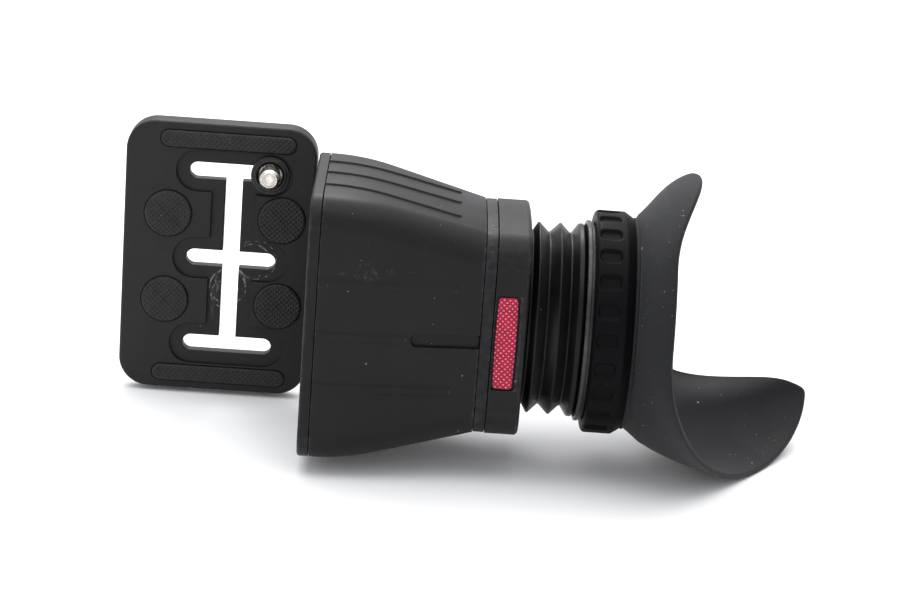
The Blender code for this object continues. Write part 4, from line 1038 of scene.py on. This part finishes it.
def make_tag(name, stands_for, side):
    """Woven tag: threads that pass over and under each other, on a flat base."""
    low, high = span(stands_for)
    half_x = (WINDOW_END - WINDOW_START) / 2 - 0.5
    half_z = WINDOW_HALF - 0.6
    centre_x = (WINDOW_START + WINDOW_END) / 2
    across = np.linspace(-half_x, half_x, 72)
    up = np.linspace(-half_z, half_z, 300)
    grid_x, grid_z = np.meshgrid(across, up)
    wander = 0.06 * np.sin(grid_z * 0.9 + 0.7) + 0.05 * np.sin(grid_x * 1.7 + grid_z * 0.35)
    bulge = 0.35 * (1 - (grid_z / half_z) ** 2) - 0.2
    grid_x = grid_x * (1 + bulge / half_x)
    turned_in = np.clip((np.abs(grid_z) - half_z + 1.6) / 1.6, 0.0, 1.0) ** 3
    grid_x = grid_x * (1 - 0.22 * turned_in)
    height, upper = woven_height(grid_x + wander, grid_z + 0.05 * np.sin(grid_x * 1.3))
    rim = np.minimum(half_x + bulge - np.abs(grid_x), half_z - np.abs(grid_z))
    height = height * smooth_step(rim / 0.35 + 0.15)
    upper = upper * smooth_step(rim / 0.2 + 0.3)
    base = low.y if side > 0 else high.y
    top = high.y if side > 0 else low.y
    crown = 0.25 * (1 - (grid_z / half_z) ** 2) - 0.35 * (np.abs(grid_x) / half_x) ** 4
    y = base + (top - base) * 0.55 + side * (0.32 * height + crown)
    count = grid_x.size
    points = np.stack([grid_x + centre_x, y, grid_z], axis=-1).reshape(-1, 3)
    under = points.copy()
    under[:, 1] = base
    rows, columns = grid_x.shape
    faces = grid_faces(rows, columns, around=False)
    rim_loop = [j for j in range(columns)]
    rim_loop += [(i + 1) * columns - 1 for i in range(1, rows)]
    rim_loop += [(rows - 1) * columns + j for j in range(columns - 2, -1, -1)]
    rim_loop += [i * columns for i in range(rows - 2, 0, -1)]
    edge_points = under[rim_loop]
    total = len(rim_loop)
    for index in range(total):
        after = (index + 1) % total
        faces.append((rim_loop[index], rim_loop[after], count + after, count + index))
    faces.append(tuple(count + index for index in range(total)))
    made = add_piece(name, (stands_for,), "hood", "woven_crimson", np.concatenate([points, edge_points]),
                     faces, 60.0)
    raised = made.data.attributes.new("raised", "FLOAT", "POINT")
    values = np.zeros(len(made.data.vertices), np.float32)
    values[:count] = upper.reshape(-1)
    raised.data.foreach_set("value", values)


def make_small_screw(name, stands_for, body, slot):
    """Socket-head screw along X: shank, rounded head and a six-sided socket."""
    low, high = span(stands_for)
    centre = middle(stands_for)
    head = (high.z - low.z) / 2
    seat = high.x - 1.0
    profile = [(low.x, 0.7), (low.x + 0.3, 1.0), (seat, 1.0), (seat, head - 0.1), (seat + 0.1, head),
               (high.x - 0.3, head), (high.x - 0.08, head - 0.1), (high.x, head - 0.35)]
    rows = [[(x, centre.y + r * math.cos(a), centre.z + r * math.sin(a))
             for a in np.arange(48) * math.pi / 24] for x, r in profile]
    made = loft(name, (), None, None, rows, closed=False)
    join(made, rod("socket", 0.95, high.x - 0.75, high.x + 1.0, "X", (centre.y, centre.z), 6))
    finish_mesh(made, 34.0)
    dress(made, (stands_for,), body, slot)


# ---------------------------------------------------------------- eyepiece
def make_guide():
    """Fixed sleeve with a fine internal helicoid."""
    low, high = span("focus_guide")
    lip = COLLAR_HIGH.x - COLLAR_LIP - GAP
    flange = 57.2
    outer = reach("focus_guide")
    profile = [(low.x, GUIDE_INNER + 0.3), (low.x, GUIDE_OUTER - 0.2), (low.x + 0.2, GUIDE_OUTER),
               (flange, GUIDE_OUTER), (flange, outer - 0.2), (flange + 0.2, outer), (lip, outer),
               (lip, GUIDE_OUTER), (high.x - 0.2, GUIDE_OUTER), (high.x, GUIDE_OUTER - 0.2),
               (high.x, GUIDE_INNER + 0.3)]
    for step in range(46):
        x = high.x - 0.3 - step * 0.5
        profile.append((x, GUIDE_INNER + (0.25 if step % 2 else 0.0)))
    turned_points("focus_sleeve", ("focus_guide",), "hood", "liner_black", profile, 128, 25.0)


def make_bellows():
    """Rubber bellows with three pointed folds, the last one flat beside the flange ring."""
    low, high = span("bellows")
    crest = reach("bellows")
    long = high.x - low.x
    knots = [(0.0, -2.6), (0.045, -2.9), (0.145, -0.1), (0.345, -3.3), (0.545, -0.1), (0.745, -3.3),
             (0.875, -0.15), (0.955, 0.0), (1.0, -0.9)]
    sharp = [0.3, 0.3, 0.45, 0.5, 0.45, 0.5, 0.5, 0.5, 0.1]
    outer = [(low.x + share * long, crest + drop, r) for (share, drop), r in zip(knots, sharp)]
    inner = [(x, r - 1.1, s) for x, r, s in reversed(outer)]
    profile = fillet(outer + inner, 5)
    made = turned_points("bellows_skin", (), None, None, profile, 176, 60.0)
    made.modifiers.clear()
    made.data.materials.append(LOOKS["bellows_rubber"])
    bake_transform(made)
    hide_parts("bellows")


def make_carrier():
    """Lens barrel: grooved tube and wide cell."""
    low, high = span("lens_carrier")
    cell_start = span("flange_ring")[0].x
    web = cell_start + 1.6
    profile = [(low.x, TUBE_INNER + 0.2), (low.x, TUBE_OUTER - 0.2), (low.x + 0.2, TUBE_OUTER),
               (cell_start, TUBE_OUTER), (cell_start, CELL_OUTER), (high.x - 0.35, CELL_OUTER),
               (high.x, CELL_OUTER - 0.35), (high.x, CELL_BORE + 0.5), (high.x - 0.5, CELL_BORE),
               (web, CELL_BORE), (web, TUBE_INNER)]
    ridge = 1.0
    count = int((web - low.x - 1.5) / ridge)
    for step in range(count):
        x = web - 0.5 - step * ridge
        profile.append((x, TUBE_INNER))
        profile.append((x - 0.1, TUBE_INNER + 0.45))
    turned_points("lens_barrel", ("lens_carrier",), "eyepiece", "liner_black", profile, 144, 25.0)


def make_lens(name, stands_for, front, rear, bulge_front, bulge_rear):
    """Lens with curved faces and a ground edge."""
    radius = reach(stands_for)
    shares = np.linspace(0.0, 1.0, 25)
    profile = [(front - bulge_front * (1 - s * s), (radius - 0.15) * s) for s in shares]
    profile += [(front + 0.15, radius), (rear - 0.15, radius)]
    profile += [(rear + bulge_rear * (1 - s * s), (radius - 0.15) * s) for s in shares[::-1]]
    made = turned_points(name, (stands_for,), "eyepiece", "lens_glass", profile, 144, 40.0, closed=False)
    made.modifiers.clear()


def make_eyepiece_rings():
    """Flange ring, spacer and the notched retainer."""
    low, high = span("flange_ring")
    outer = reach("flange_ring")
    inner = CELL_OUTER + GAP
    step = low.x + 1.25
    turned("satin_flange", ("flange_ring",), "eyepiece", "satin_ring",
           [(low.x, inner), (low.x, outer, 0.35), (step, outer, 0.2), (step, outer - 0.8, 0.15),
            (high.x, outer - 0.8, 0.2), (high.x, inner)], 192)
    low, high = span("lens_spacer")
    outer = reach("lens_spacer")
    bevel = (outer - 1.7)
    turned("spacer_ring", ("lens_spacer",), "eyepiece", "liner_black",
           [(low.x, bevel + 0.5), (low.x, outer, 0.1), (high.x, outer, 0.1), (high.x, bevel)], 128)
    low, high = span("lens_retainer")
    outer = reach("lens_retainer")
    made = turned("retainer_ring", (), None, None,
                  [(low.x, outer - 2.5, 0.1), (low.x, outer, 0.1), (high.x, outer, 0.2),
                   (high.x, outer - 1.3, 0.2), (high.x - 0.9, outer - 2.5, 0.1)], 144)
    for index, sign in enumerate((-1, 1)):
        z = sign * (outer - 1.4)
        join(made, rounded_block(f"spanner_{index}", (high.x - 0.8, -1.0, z - 2.0),
                                 (high.x + 1.0, 1.0, z + 2.0), 0.1))
    finish_mesh(made, 30.0)
    dress(made, ("lens_retainer",), "eyepiece", "liner_black")


def make_focus_ring():
    """Grip ring: rounded front edge, notches with rounded corners, smooth band and chamfer."""
    start, end = RING_LOW.x, RING_HIGH.x
    outer = reach("focus_ring")
    inner = CELL_OUTER + GAP
    edge = 1.3
    profile = [(start + edge * (1 - math.sin(t)), outer - edge * (1 - math.cos(t)))
               for t in np.linspace(math.pi / 2, 0.0, 9)]
    profile += [(x, outer) for x in np.arange(start + edge + 0.25, CHAMFER_START - 0.6, 0.22)]
    profile += [(CHAMFER_START - 0.3, outer), (CHAMFER_START, outer - 0.06),
                (CHAMFER_START + 0.3, outer - 0.25), (end - 0.25, CHAMFER_RADIUS + 0.16),
                (end, CHAMFER_RADIUS - 0.1)]
    columns = NOTCH_COUNT * 32
    angles = np.arange(columns) * 2 * math.pi / columns
    pitch = 2 * math.pi / NOTCH_COUNT
    off_centre = (np.mod(angles, pitch) - pitch / 2) * outer
    half_wide = pitch * outer * NOTCH_SHARE / 2
    corner = 1.5
    half_long = (NOTCH_END - NOTCH_START) / 2
    centre_x = (NOTCH_START + NOTCH_END) / 2
    rows = []
    for x, radius in profile:
        along = abs(x - centre_x) - (half_long - corner)
        across = np.abs(off_centre) - (half_wide - corner)
        far = np.hypot(np.maximum(along, 0.0), np.maximum(across, 0.0)) + np.minimum(
            np.maximum(along, across), 0.0) - corner
        deep = NOTCH_DEEP * (1 - smooth_step(far / 1.1 + 0.5))
        r = radius - deep
        rows.append(np.stack([np.full(columns, x), r * np.sin(angles), -r * np.cos(angles)], axis=1))
    for x, radius in ((end, inner + 0.2), (end - 0.2, inner), (start + 0.2, inner), (start, inner + 0.2)):
        rows.append(np.stack([np.full(columns, x), radius * np.sin(angles), -radius * np.cos(angles)],
                             axis=1))
    loft("grip_ring", ("focus_ring",), "focus_ring", "grip_rubber", rows, smooth=40.0)


# ---------------------------------------------------------------- eyecup
def bump(angle, at, before, after):
    """Smooth rise to 1 at an angle; before and after are its reaches to either side, in degrees."""
    gap = (angle - at + 180.0) % 360.0 - 180.0
    reach = before if gap < 0 else after
    if abs(gap) >= reach:
        return 0.0
    return 0.5 + 0.5 * math.cos(math.pi * gap / reach)


def rim_point(share):
    """Base angle, rim angle, station and radius at a share of the way round the rim."""
    lap = share - 0.5
    base = CUP_CROWD_AT + 360.0 * lap - CUP_CROWD * math.sin(2 * math.pi * lap)
    nose = bump(base, 180.0, NOSE_HALF, NOSE_HALF)
    x = CUP_RIM_X + NOSE_LONG * nose + LOBE_LONG * bump(base, LOBE_AT, LOBE_NEAR, LOBE_FAR)
    spread = bump(base, SPREAD_AT, SPREAD_HALF, SPREAD_HALF)
    radius = CUP_RIM_RADIUS + NOSE_SPREAD * nose + LOBE_SPREAD * spread
    rim = base + LOBE_TURN * bump(base, TURN_AT, TURN_NEAR, TURN_FAR)
    return base, rim, x, radius


def cup_point(share, along):
    """Point of the eyecup's outer wall, from the base (along 0) to the rim (along 1)."""
    base, rim, x_rim, r_rim = rim_point(share)
    far = x_rim - CUP_START
    lean = 0.45 - 0.7 * (far - 11.0) / 50.0
    knots = ((CUP_START, CUP_BASE_RADIUS),
             (CUP_START + 0.30 * far, CUP_BASE_RADIUS + 0.30 * far * min(0.85, 0.62 + 4.0 / far)),
             (x_rim - 0.33 * far, r_rim - 0.33 * far * lean),
             (x_rim, r_rim))
    weights = ((1 - along) ** 3, 3 * along * (1 - along) ** 2, 3 * along ** 2 * (1 - along), along ** 3)
    x = sum(w * k[0] for w, k in zip(weights, knots))
    r = sum(w * k[1] for w, k in zip(weights, knots))
    angle = math.radians(base + (rim - base) * along)
    return (x, r * math.sin(angle), -r * math.cos(angle))


def make_eyecup():
    """Rubber eyecup: flared wall with a nose flare and a temple lobe, a bead and a short neck."""
    shares = np.arange(CUP_AROUND) / CUP_AROUND
    steps = np.linspace(0.0, 1.0, CUP_ALONG + 1)
    outer = np.array([[cup_point(s, t) for s in shares] for t in steps])
    around = np.roll(outer, -1, axis=1) - np.roll(outer, 1, axis=1)
    along = np.gradient(outer, axis=0)
    normal = np.cross(around, along)
    normal /= np.linalg.norm(normal, axis=2, keepdims=True)
    outward = np.sum(normal[:, :, 1:] * outer[:, :, 1:], axis=2).mean()
    if outward < 0:
        normal = -normal
    tangent = along / np.linalg.norm(along, axis=2, keepdims=True)
    wall = CUP_WALL * (1.0 - 0.12 * steps)[:, None, None]
    half = CUP_WALL * 0.44
    outer[-1] = outer[-1] - tangent[-1] * half
    outer[-2] = outer[-2] - tangent[-2] * half * 0.4
    inner = outer - normal * wall
    lip = []
    for turn in np.linspace(0.0, math.pi, 8)[1:-1]:
        centre = (outer[-1] + inner[-1]) / 2
        lip.append(centre + normal[-1] * half * math.cos(turn) + tangent[-1] * half * math.sin(turn) * 0.9)
    bead = []
    for x, r in ((0.0, -0.2), (0.05, 0.1), (0.3, 0.3), (0.65, 0.3), (0.9, 0.1), (1.0, -0.15)):
        bead.append(ring_like(outer[0], CUP_START + x, CUP_BASE_RADIUS + r))
    start = next(i for i in range(len(steps)) if outer[i][:, 0].min() > CUP_START + 1.15)
    neck_end = CUP_START + CUP_NECK_LONG
    first_inner = next(i for i in range(len(steps)) if inner[i][:, 0].min() > neck_end)
    rows = [ring_like(outer[0], CUP_START, CUP_NECK_INNER)] + bead + list(outer[start:]) + lip
    rows += list(inner[first_inner:][::-1])
    rows += [ring_like(outer[0], neck_end + 0.1, CUP_NECK_INNER + 0.6),
             ring_like(outer[0], neck_end - 0.3, CUP_NECK_INNER)]
    loft("eyecup_skin", ("eyecup",), "eyecup", "eyecup_rubber", rows, smooth=60.0)


def ring_like(like, x, radius):
    """Circle with points at the same angles as a row's."""
    angles = np.arctan2(like[:, 2], like[:, 1])
    return np.stack([np.full(len(like), x), radius * np.cos(angles), radius * np.sin(angles)], axis=1)


# ---------------------------------------------------------------- camera plate
def slot_shapes():
    """Outlines of the upright slot and the three cross slots, each as a function of its growth."""
    def upright(grow):
        half = SLOT_WIDE / 2 + grow
        return rounded_rectangle(half, SLOT_PITCH + half, half - 0.01, 12, SLOT_X)

    def cross(row):
        def shape(grow):
            half = SLOT_WIDE / 2 + grow
            return rounded_rectangle(SLOT_LONG / 2 + grow, half, half - 0.01, 12, SLOT_X, row * SLOT_PITCH)
        return shape
    return [upright, cross(-1), cross(0), cross(1)]


def make_plate():
    """Camera plate: rounded edge, chamfered slots, stepped channel, pad pockets and screw seat."""
    low, high = PLATE_LOW, PLATE_HIGH
    half_x = (high.x - low.x) / 2
    half_z = (high.z - low.z) / 2

    def shape(grow):
        return rounded_rectangle(half_x + grow, half_z + grow, PLATE_RADIUS + grow, 20, PLATE_MIDDLE.x)
    made = prism("slotted_plate", shape, edge_levels(PLATE_FACE, PLATE_BACK, PLATE_EDGE, 6))
    channel = (CHANNEL_WIDE - SLOT_WIDE) / 2
    floor = PLATE_FACE + CHANNEL_DEEP
    roof = PLATE_BACK - UNDER_DEEP
    for index, outline_of in enumerate(slot_shapes()):
        slot_levels = [(floor - 0.6, SLOT_EDGE), (floor, SLOT_EDGE), (floor + SLOT_EDGE, 0.0),
                       (roof - SLOT_EDGE, 0.0), (roof, SLOT_EDGE), (roof + 0.6, SLOT_EDGE)]
        join(made, prism(f"slot_{index}", outline_of, slot_levels))
        step = [(PLATE_FACE - 1.0, channel + 0.2), (PLATE_FACE, channel + 0.2),
                (PLATE_FACE + 0.2, channel), (floor, channel)]
        join(made, prism(f"channel_{index}", outline_of, step))
        relief = [(roof, channel), (PLATE_BACK - 0.3, channel), (PLATE_BACK, channel + 0.3),
                  (PLATE_BACK + 1.0, channel + 0.3)]
        join(made, prism(f"relief_{index}", outline_of, relief))
    join(made, rod("screw_entry", ENTRY_RADIUS, PLATE_FACE - 1.0, PLATE_BACK + 1.0, "Y",
                   (STUD.x, SLOT_PITCH), 64))
    for index in range(1, 5):
        centre = middle(f"pad_round_{index}")
        radius = reach(f"pad_round_{index}") + GAP
        join(made, rod(f"pad_pocket_{index}", radius, PLATE_FACE - 1.0, PLATE_FACE + PAD_POCKET_DEEP, "Y",
                       (centre.x, centre.z), 96))
    for name in ("pad_long_top", "pad_long_bottom"):
        levels = [(PLATE_FACE - 1.0, GAP), (PLATE_FACE + PAD_POCKET_DEEP, GAP)]
        join(made, prism("long_pocket", pad_outline(name), levels))
    for index in (1, 2):
        centre = middle(f"hinge_screw_{index}")
        join(made, rod("edge_hole", EDGE_HOLE_RADIUS, PLATE_HIGH.x - EDGE_HOLE_LONG, PLATE_HIGH.x + 2.0, "X",
                       (centre.y, centre.z), 24))
    finish_mesh(made, 34.0)
    dress(made, ("base_plate",), "plate", "plate_black")


def pad_outline(name):
    """Outline of a long pad, from its CAD node's box."""
    low, high = span(name)
    half_x = (high.x - low.x) / 2
    half_z = (high.z - low.z) / 2
    centre = middle(name)

    def shape(grow):
        return rounded_rectangle(half_x + grow, half_z + grow, half_z + grow - 0.01, 14, centre.x, centre.z)
    return shape


def ridge(value):
    """Triangle wave, 0 in the valleys and 1 on the ridges."""
    turn = value / PAD_PITCH
    return 1 - np.abs(2 * (turn - np.floor(turn)) - 1)


def pad_height(x, z, rim):
    """Diamond relief that fades at the rim."""
    u = (x + z) / math.sqrt(2)
    v = (x - z) / math.sqrt(2)
    relief = np.clip(1.7 * np.minimum(ridge(u), ridge(v)), 0.0, 1.0)
    return PAD_RIDGE * relief * smooth_step(rim / 0.5) - 0.3 * (1 - smooth_step(rim / 0.35 + 0.1))


def make_pad(name, stands_for):
    """Rubber pad with a diamond grip on its top."""
    low, high = span(stands_for)
    centre = middle(stands_for)
    half_x = (high.x - low.x) / 2
    radius = (high.z - low.z) / 2
    run = half_x - radius
    step = 0.17
    count = max(1, int(run * 2 / step))
    turns = np.linspace(-math.pi / 2, math.pi / 2, max(24, int(math.pi * radius / step)))
    spine, spoke = [], []
    for angle in turns:
        spine.append(run)
        spoke.append((math.cos(angle), math.sin(angle)))
    for index in range(1, count):
        spine.append(run - 2 * run * index / count)
        spoke.append((0.0, 1.0))
    for angle in turns:
        spine.append(-run)
        spoke.append((-math.cos(angle), -math.sin(angle)))
    for index in range(1, count):
        spine.append(-run + 2 * run * index / count)
        spoke.append((0.0, -1.0))
    if run < 0.01:
        spine = [0.0] * (2 * len(turns) - 2)
        spoke = [(math.cos(a), math.sin(a)) for a in np.arange(len(spine)) * 2 * math.pi / len(spine)]
    spine = np.array(spine)
    spoke = np.array(spoke)
    face = low.y + PAD_RIDGE
    rows = []
    rows.append(np.stack([centre.x + spine + spoke[:, 0] * radius, np.full(len(spine), high.y),
                          centre.z + spoke[:, 1] * radius], axis=1))
    rows.append(np.stack([centre.x + spine + spoke[:, 0] * radius, np.full(len(spine), face + 0.35),
                          centre.z + spoke[:, 1] * radius], axis=1))
    for far in np.linspace(1.0, 0.0, max(8, int(radius / step))):
        x = spine + spoke[:, 0] * radius * far
        z = spoke[:, 1] * radius * far
        y = face - pad_height(x, z, radius * (1 - far))
        rows.append(np.stack([centre.x + x, y, centre.z + z], axis=1))
    points = np.concatenate(rows)
    faces = grid_faces(len(rows), len(spine))
    faces.append(tuple(range(len(spine))))
    add_piece(name, (stands_for,), "plate", "pad_rubber", points, faces, 60.0)


def make_camera_screw():
    """Captive camera screw: threaded stud, waist, and a knurled head with a coin slot."""
    low, high = span("camera_screw")
    waist = 2.3
    head = (high.x - low.x) / 2
    web_top = PLATE_FACE + CHANNEL_DEEP - GAP
    web_bottom = PLATE_BACK - UNDER_DEEP + GAP
    steps = 96
    angles = np.arange(steps) * 2 * math.pi / steps
    rows = []

    def ring(y, r):
        r = np.broadcast_to(r, angles.shape)
        across, up = r * np.cos(angles), r * np.sin(angles)
        return np.stack([STUD.x + across, np.full(steps, y), STUD.z + up], axis=1)
    for y, r in ((low.y + 0.35, 0.05), (low.y + 0.35, 1.25), (low.y + 0.12, 1.4), (low.y + 0.12, 1.75),
                 (low.y + 0.3, 1.85), (low.y + 0.3, 2.0), (low.y, 2.12), (low.y, 2.42)):
        rows.append(ring(y, r))
    for y in np.arange(low.y + 0.1, web_top - 0.4, 0.09):
        turn = y / THREAD_PITCH + angles / (2 * math.pi)
        tooth = 1 - np.abs(2 * (turn - np.floor(turn)) - 1)
        thread = STUD_RADIUS - THREAD_DEEP * (1 - np.clip(tooth * 1.25, 0.0, 1.0))
        rows.append(ring(y, np.minimum(thread, 2.42 + (y - low.y) * 1.05)))
    rows += [ring(web_top, STUD_RADIUS - THREAD_DEEP), ring(web_top, waist), ring(web_bottom, waist)]
    knurl = np.where(np.arange(steps) % 3 == 0, -0.22, 0.0)
    rows += [ring(web_bottom, head - 0.5), ring(web_bottom + 0.4, head - 0.05),
             ring(web_bottom + 0.5, head + knurl), ring(high.y - 0.9, head + knurl),
             ring(high.y - 0.8, head - 0.05), ring(high.y, head - 0.7)]
    made = loft("tripod_screw", (), None, None, rows, closed=False)
    join(made, rounded_block("coin_slot", (STUD.x - 8.0, high.y - 1.2, STUD.z - 0.7),
                             (STUD.x + 8.0, high.y + 2.0, STUD.z + 0.7), 0.05))
    finish_mesh(made, 30.0)
    dress(made, ("camera_screw",), "screw", "steel")


def make_washer():
    """Glossy washer with a raised inner collar."""
    low, high = span("screw_washer")
    outer = (high.x - low.x) / 2
    inner = ENTRY_RADIUS
    corners = [(high.y, inner, 0.0), (high.y, outer, 0.1), (low.y + 0.35, outer, 0.25),
               (low.y + 0.35, outer - 0.7, 0.1), (low.y + 0.05, outer - 1.0, 0.15), (low.y, inner + 0.7, 0.2),
               (low.y + 0.3, inner, 0.1)]
    rows = []
    for y, r in fillet(corners, 4):
        rows.append([(STUD.x + r * math.cos(a), y, STUD.z + r * math.sin(a))
                     for a in np.arange(96) * math.pi / 48])
    loft("screw_washer_ring", ("screw_washer",), "washer", "washer_black", rows, smooth=40.0)


def make_hinge():
    """Hinge leaf with three knuckles, and its pin with domed ends."""
    low, high = span("hinge_leaf")
    corner = (low.x + (KNUCKLE_RADIUS - 0.7), 37.0, low.z)
    made = rounded_block("leaf", corner, (high.x, high.y, high.z), 0.3)
    made.name = "hinge_leaf_plate"
    for index, (start, end) in enumerate(LEAF_KNUCKLES):
        join(made, rounded_block(f"web_{index}", (-0.4, HINGE_Y, start), (2.0, 38.0, end), 0.1), "UNION")
        knuckle = rod(f"knuckle_{index}", KNUCKLE_RADIUS, start, end, "Z", (0.0, HINGE_Y), 48, 0.25)
        join(made, knuckle, "UNION")
    join(made, rod("pin_bore", PIN_HOLE, -30.0, 30.0, "Z", (0.0, HINGE_Y), 32))
    for index in (1, 2):
        centre = middle(f"hinge_screw_{index}")
        join(made, rod("hole", 1.3, low.x - 1.0, high.x + 1.0, "X", (centre.y, centre.z), 32))
        join(made, rod("seat", 2.2, high.x - 1.6, high.x + 1.0, "X", (centre.y, centre.z), 40))
    finish_mesh(made, 30.0)
    dress(made, ("hinge_leaf",), "plate", "plate_black")
    start, end = span("hinge_pin")
    loft("hinge_pin_rod", ("hinge_pin",), "plate", "steel",
         rod_rows(PIN_RADIUS, start.z, end.z, "Z", (0.0, HINGE_Y), 40, 0.2), closed=False)


# ---------------------------------------------------------------- stage
def make_floor():
    """Pale, slightly uneven sheet under the finder."""
    bpy.ops.mesh.primitive_plane_add(size=60.0, location=(0.0, 0.0, cad_box[0].z))
    floor = bpy.context.object
    floor.name = "pale_floor"
    look = Look("floor_white", (0.955, 0.955, 0.96), 0.8, specular=0.0)
    look.mottle(3.0, 0.99, 1.0).bump(700.0, 0.01)
    floor.data.materials.append(look.done())


def area_light(name, place, aim, size, power, colour=(1.0, 1.0, 1.0)):
    """Soft square light that points at a place; lengths in metres."""
    data = bpy.data.lights.new(name, "AREA")
    data.shape = "SQUARE"
    data.size = size
    data.energy = power
    data.color = colour
    light = bpy.data.objects.new(name, data)
    light.location = place
    light.rotation_euler = (Vector(aim) - Vector(place)).to_track_quat("-Z", "Y").to_euler()
    bpy.context.scene.collection.objects.link(light)


def make_lights():
    """White surroundings and a large soft light overhead."""
    world = bpy.data.worlds.new("studio")
    bpy.context.scene.world = world
    world.use_nodes = True
    background = world.node_tree.nodes["Background"]
    background.inputs["Color"].default_value = (0.97, 0.98, 1.0, 1.0)
    background.inputs["Strength"].default_value = 1.0
    area_light("overhead", (-0.08, 0.02, 1.05), (0.0, 0.0, 0.04), 1.3, 9.0)
    area_light("behind", (-0.1, 0.70, 0.72), (0.0, 0.0, 0.05), 0.4, 3.2)


def make_camera():
    """Camera at the studio view."""
    azimuth = math.radians(VIEW_AZIMUTH)
    elevation = math.radians(VIEW_ELEVATION)
    roll = math.radians(VIEW_ROLL)
    right = Vector((math.cos(azimuth), math.sin(azimuth), 0.0))
    ahead = Vector((-math.sin(azimuth) * math.cos(elevation), math.cos(azimuth) * math.cos(elevation),
                    -math.sin(elevation)))
    up = right.cross(ahead)
    side = right * math.cos(roll) - up * math.sin(roll)
    top = right * math.sin(roll) + up * math.cos(roll)
    camera = bpy.data.objects.new("camera", bpy.data.cameras.new("camera"))
    camera.data.lens = VIEW_LENS
    camera.data.sensor_width = 36.0
    camera.data.clip_start = 0.01
    camera.data.clip_end = 100.0
    place = AXIS + (VIEW_TARGET - ahead * VIEW_DISTANCE) * MM
    turn = Matrix((side, top, -ahead)).transposed().to_4x4()
    camera.matrix_world = Matrix.Translation(place) @ turn
    bpy.context.scene.collection.objects.link(camera)
    bpy.context.scene.camera = camera


# ---------------------------------------------------------------- the finder
LOOKS = make_materials()

make_front_frame()
make_gasket()
make_magnets()
make_housing()
make_liner()
make_band()
make_collar()
make_tag("tag_near_weave", "tag_near", -1)
make_tag("tag_far_weave", "tag_far", 1)
for number in range(1, 5):
    make_small_screw(f"collar_bolt_{number}", f"collar_screw_{number}", "hood", "washer_black")
make_guide()
make_bellows()
make_carrier()
make_lens("front_lens", "lens_front", 84.2, 86.0, 1.2, 1.6)
make_lens("rear_lens", "lens_rear", 88.6, 91.0, 0.2, 3.0)
make_eyepiece_rings()
make_focus_ring()
make_eyecup()
make_plate()
for number in range(1, 5):
    make_pad(f"round_grip_{number}", f"pad_round_{number}")
make_pad("long_grip_top", "pad_long_top")
make_pad("long_grip_bottom", "pad_long_bottom")
make_camera_screw()
make_washer()
make_hinge()
for number in range(1, 3):
    make_small_screw(f"hinge_bolt_{number}", f"hinge_screw_{number}", "plate", "steel")

make_floor()
make_lights()
make_camera()
bpy.context.scene.view_settings.view_transform = "Standard"
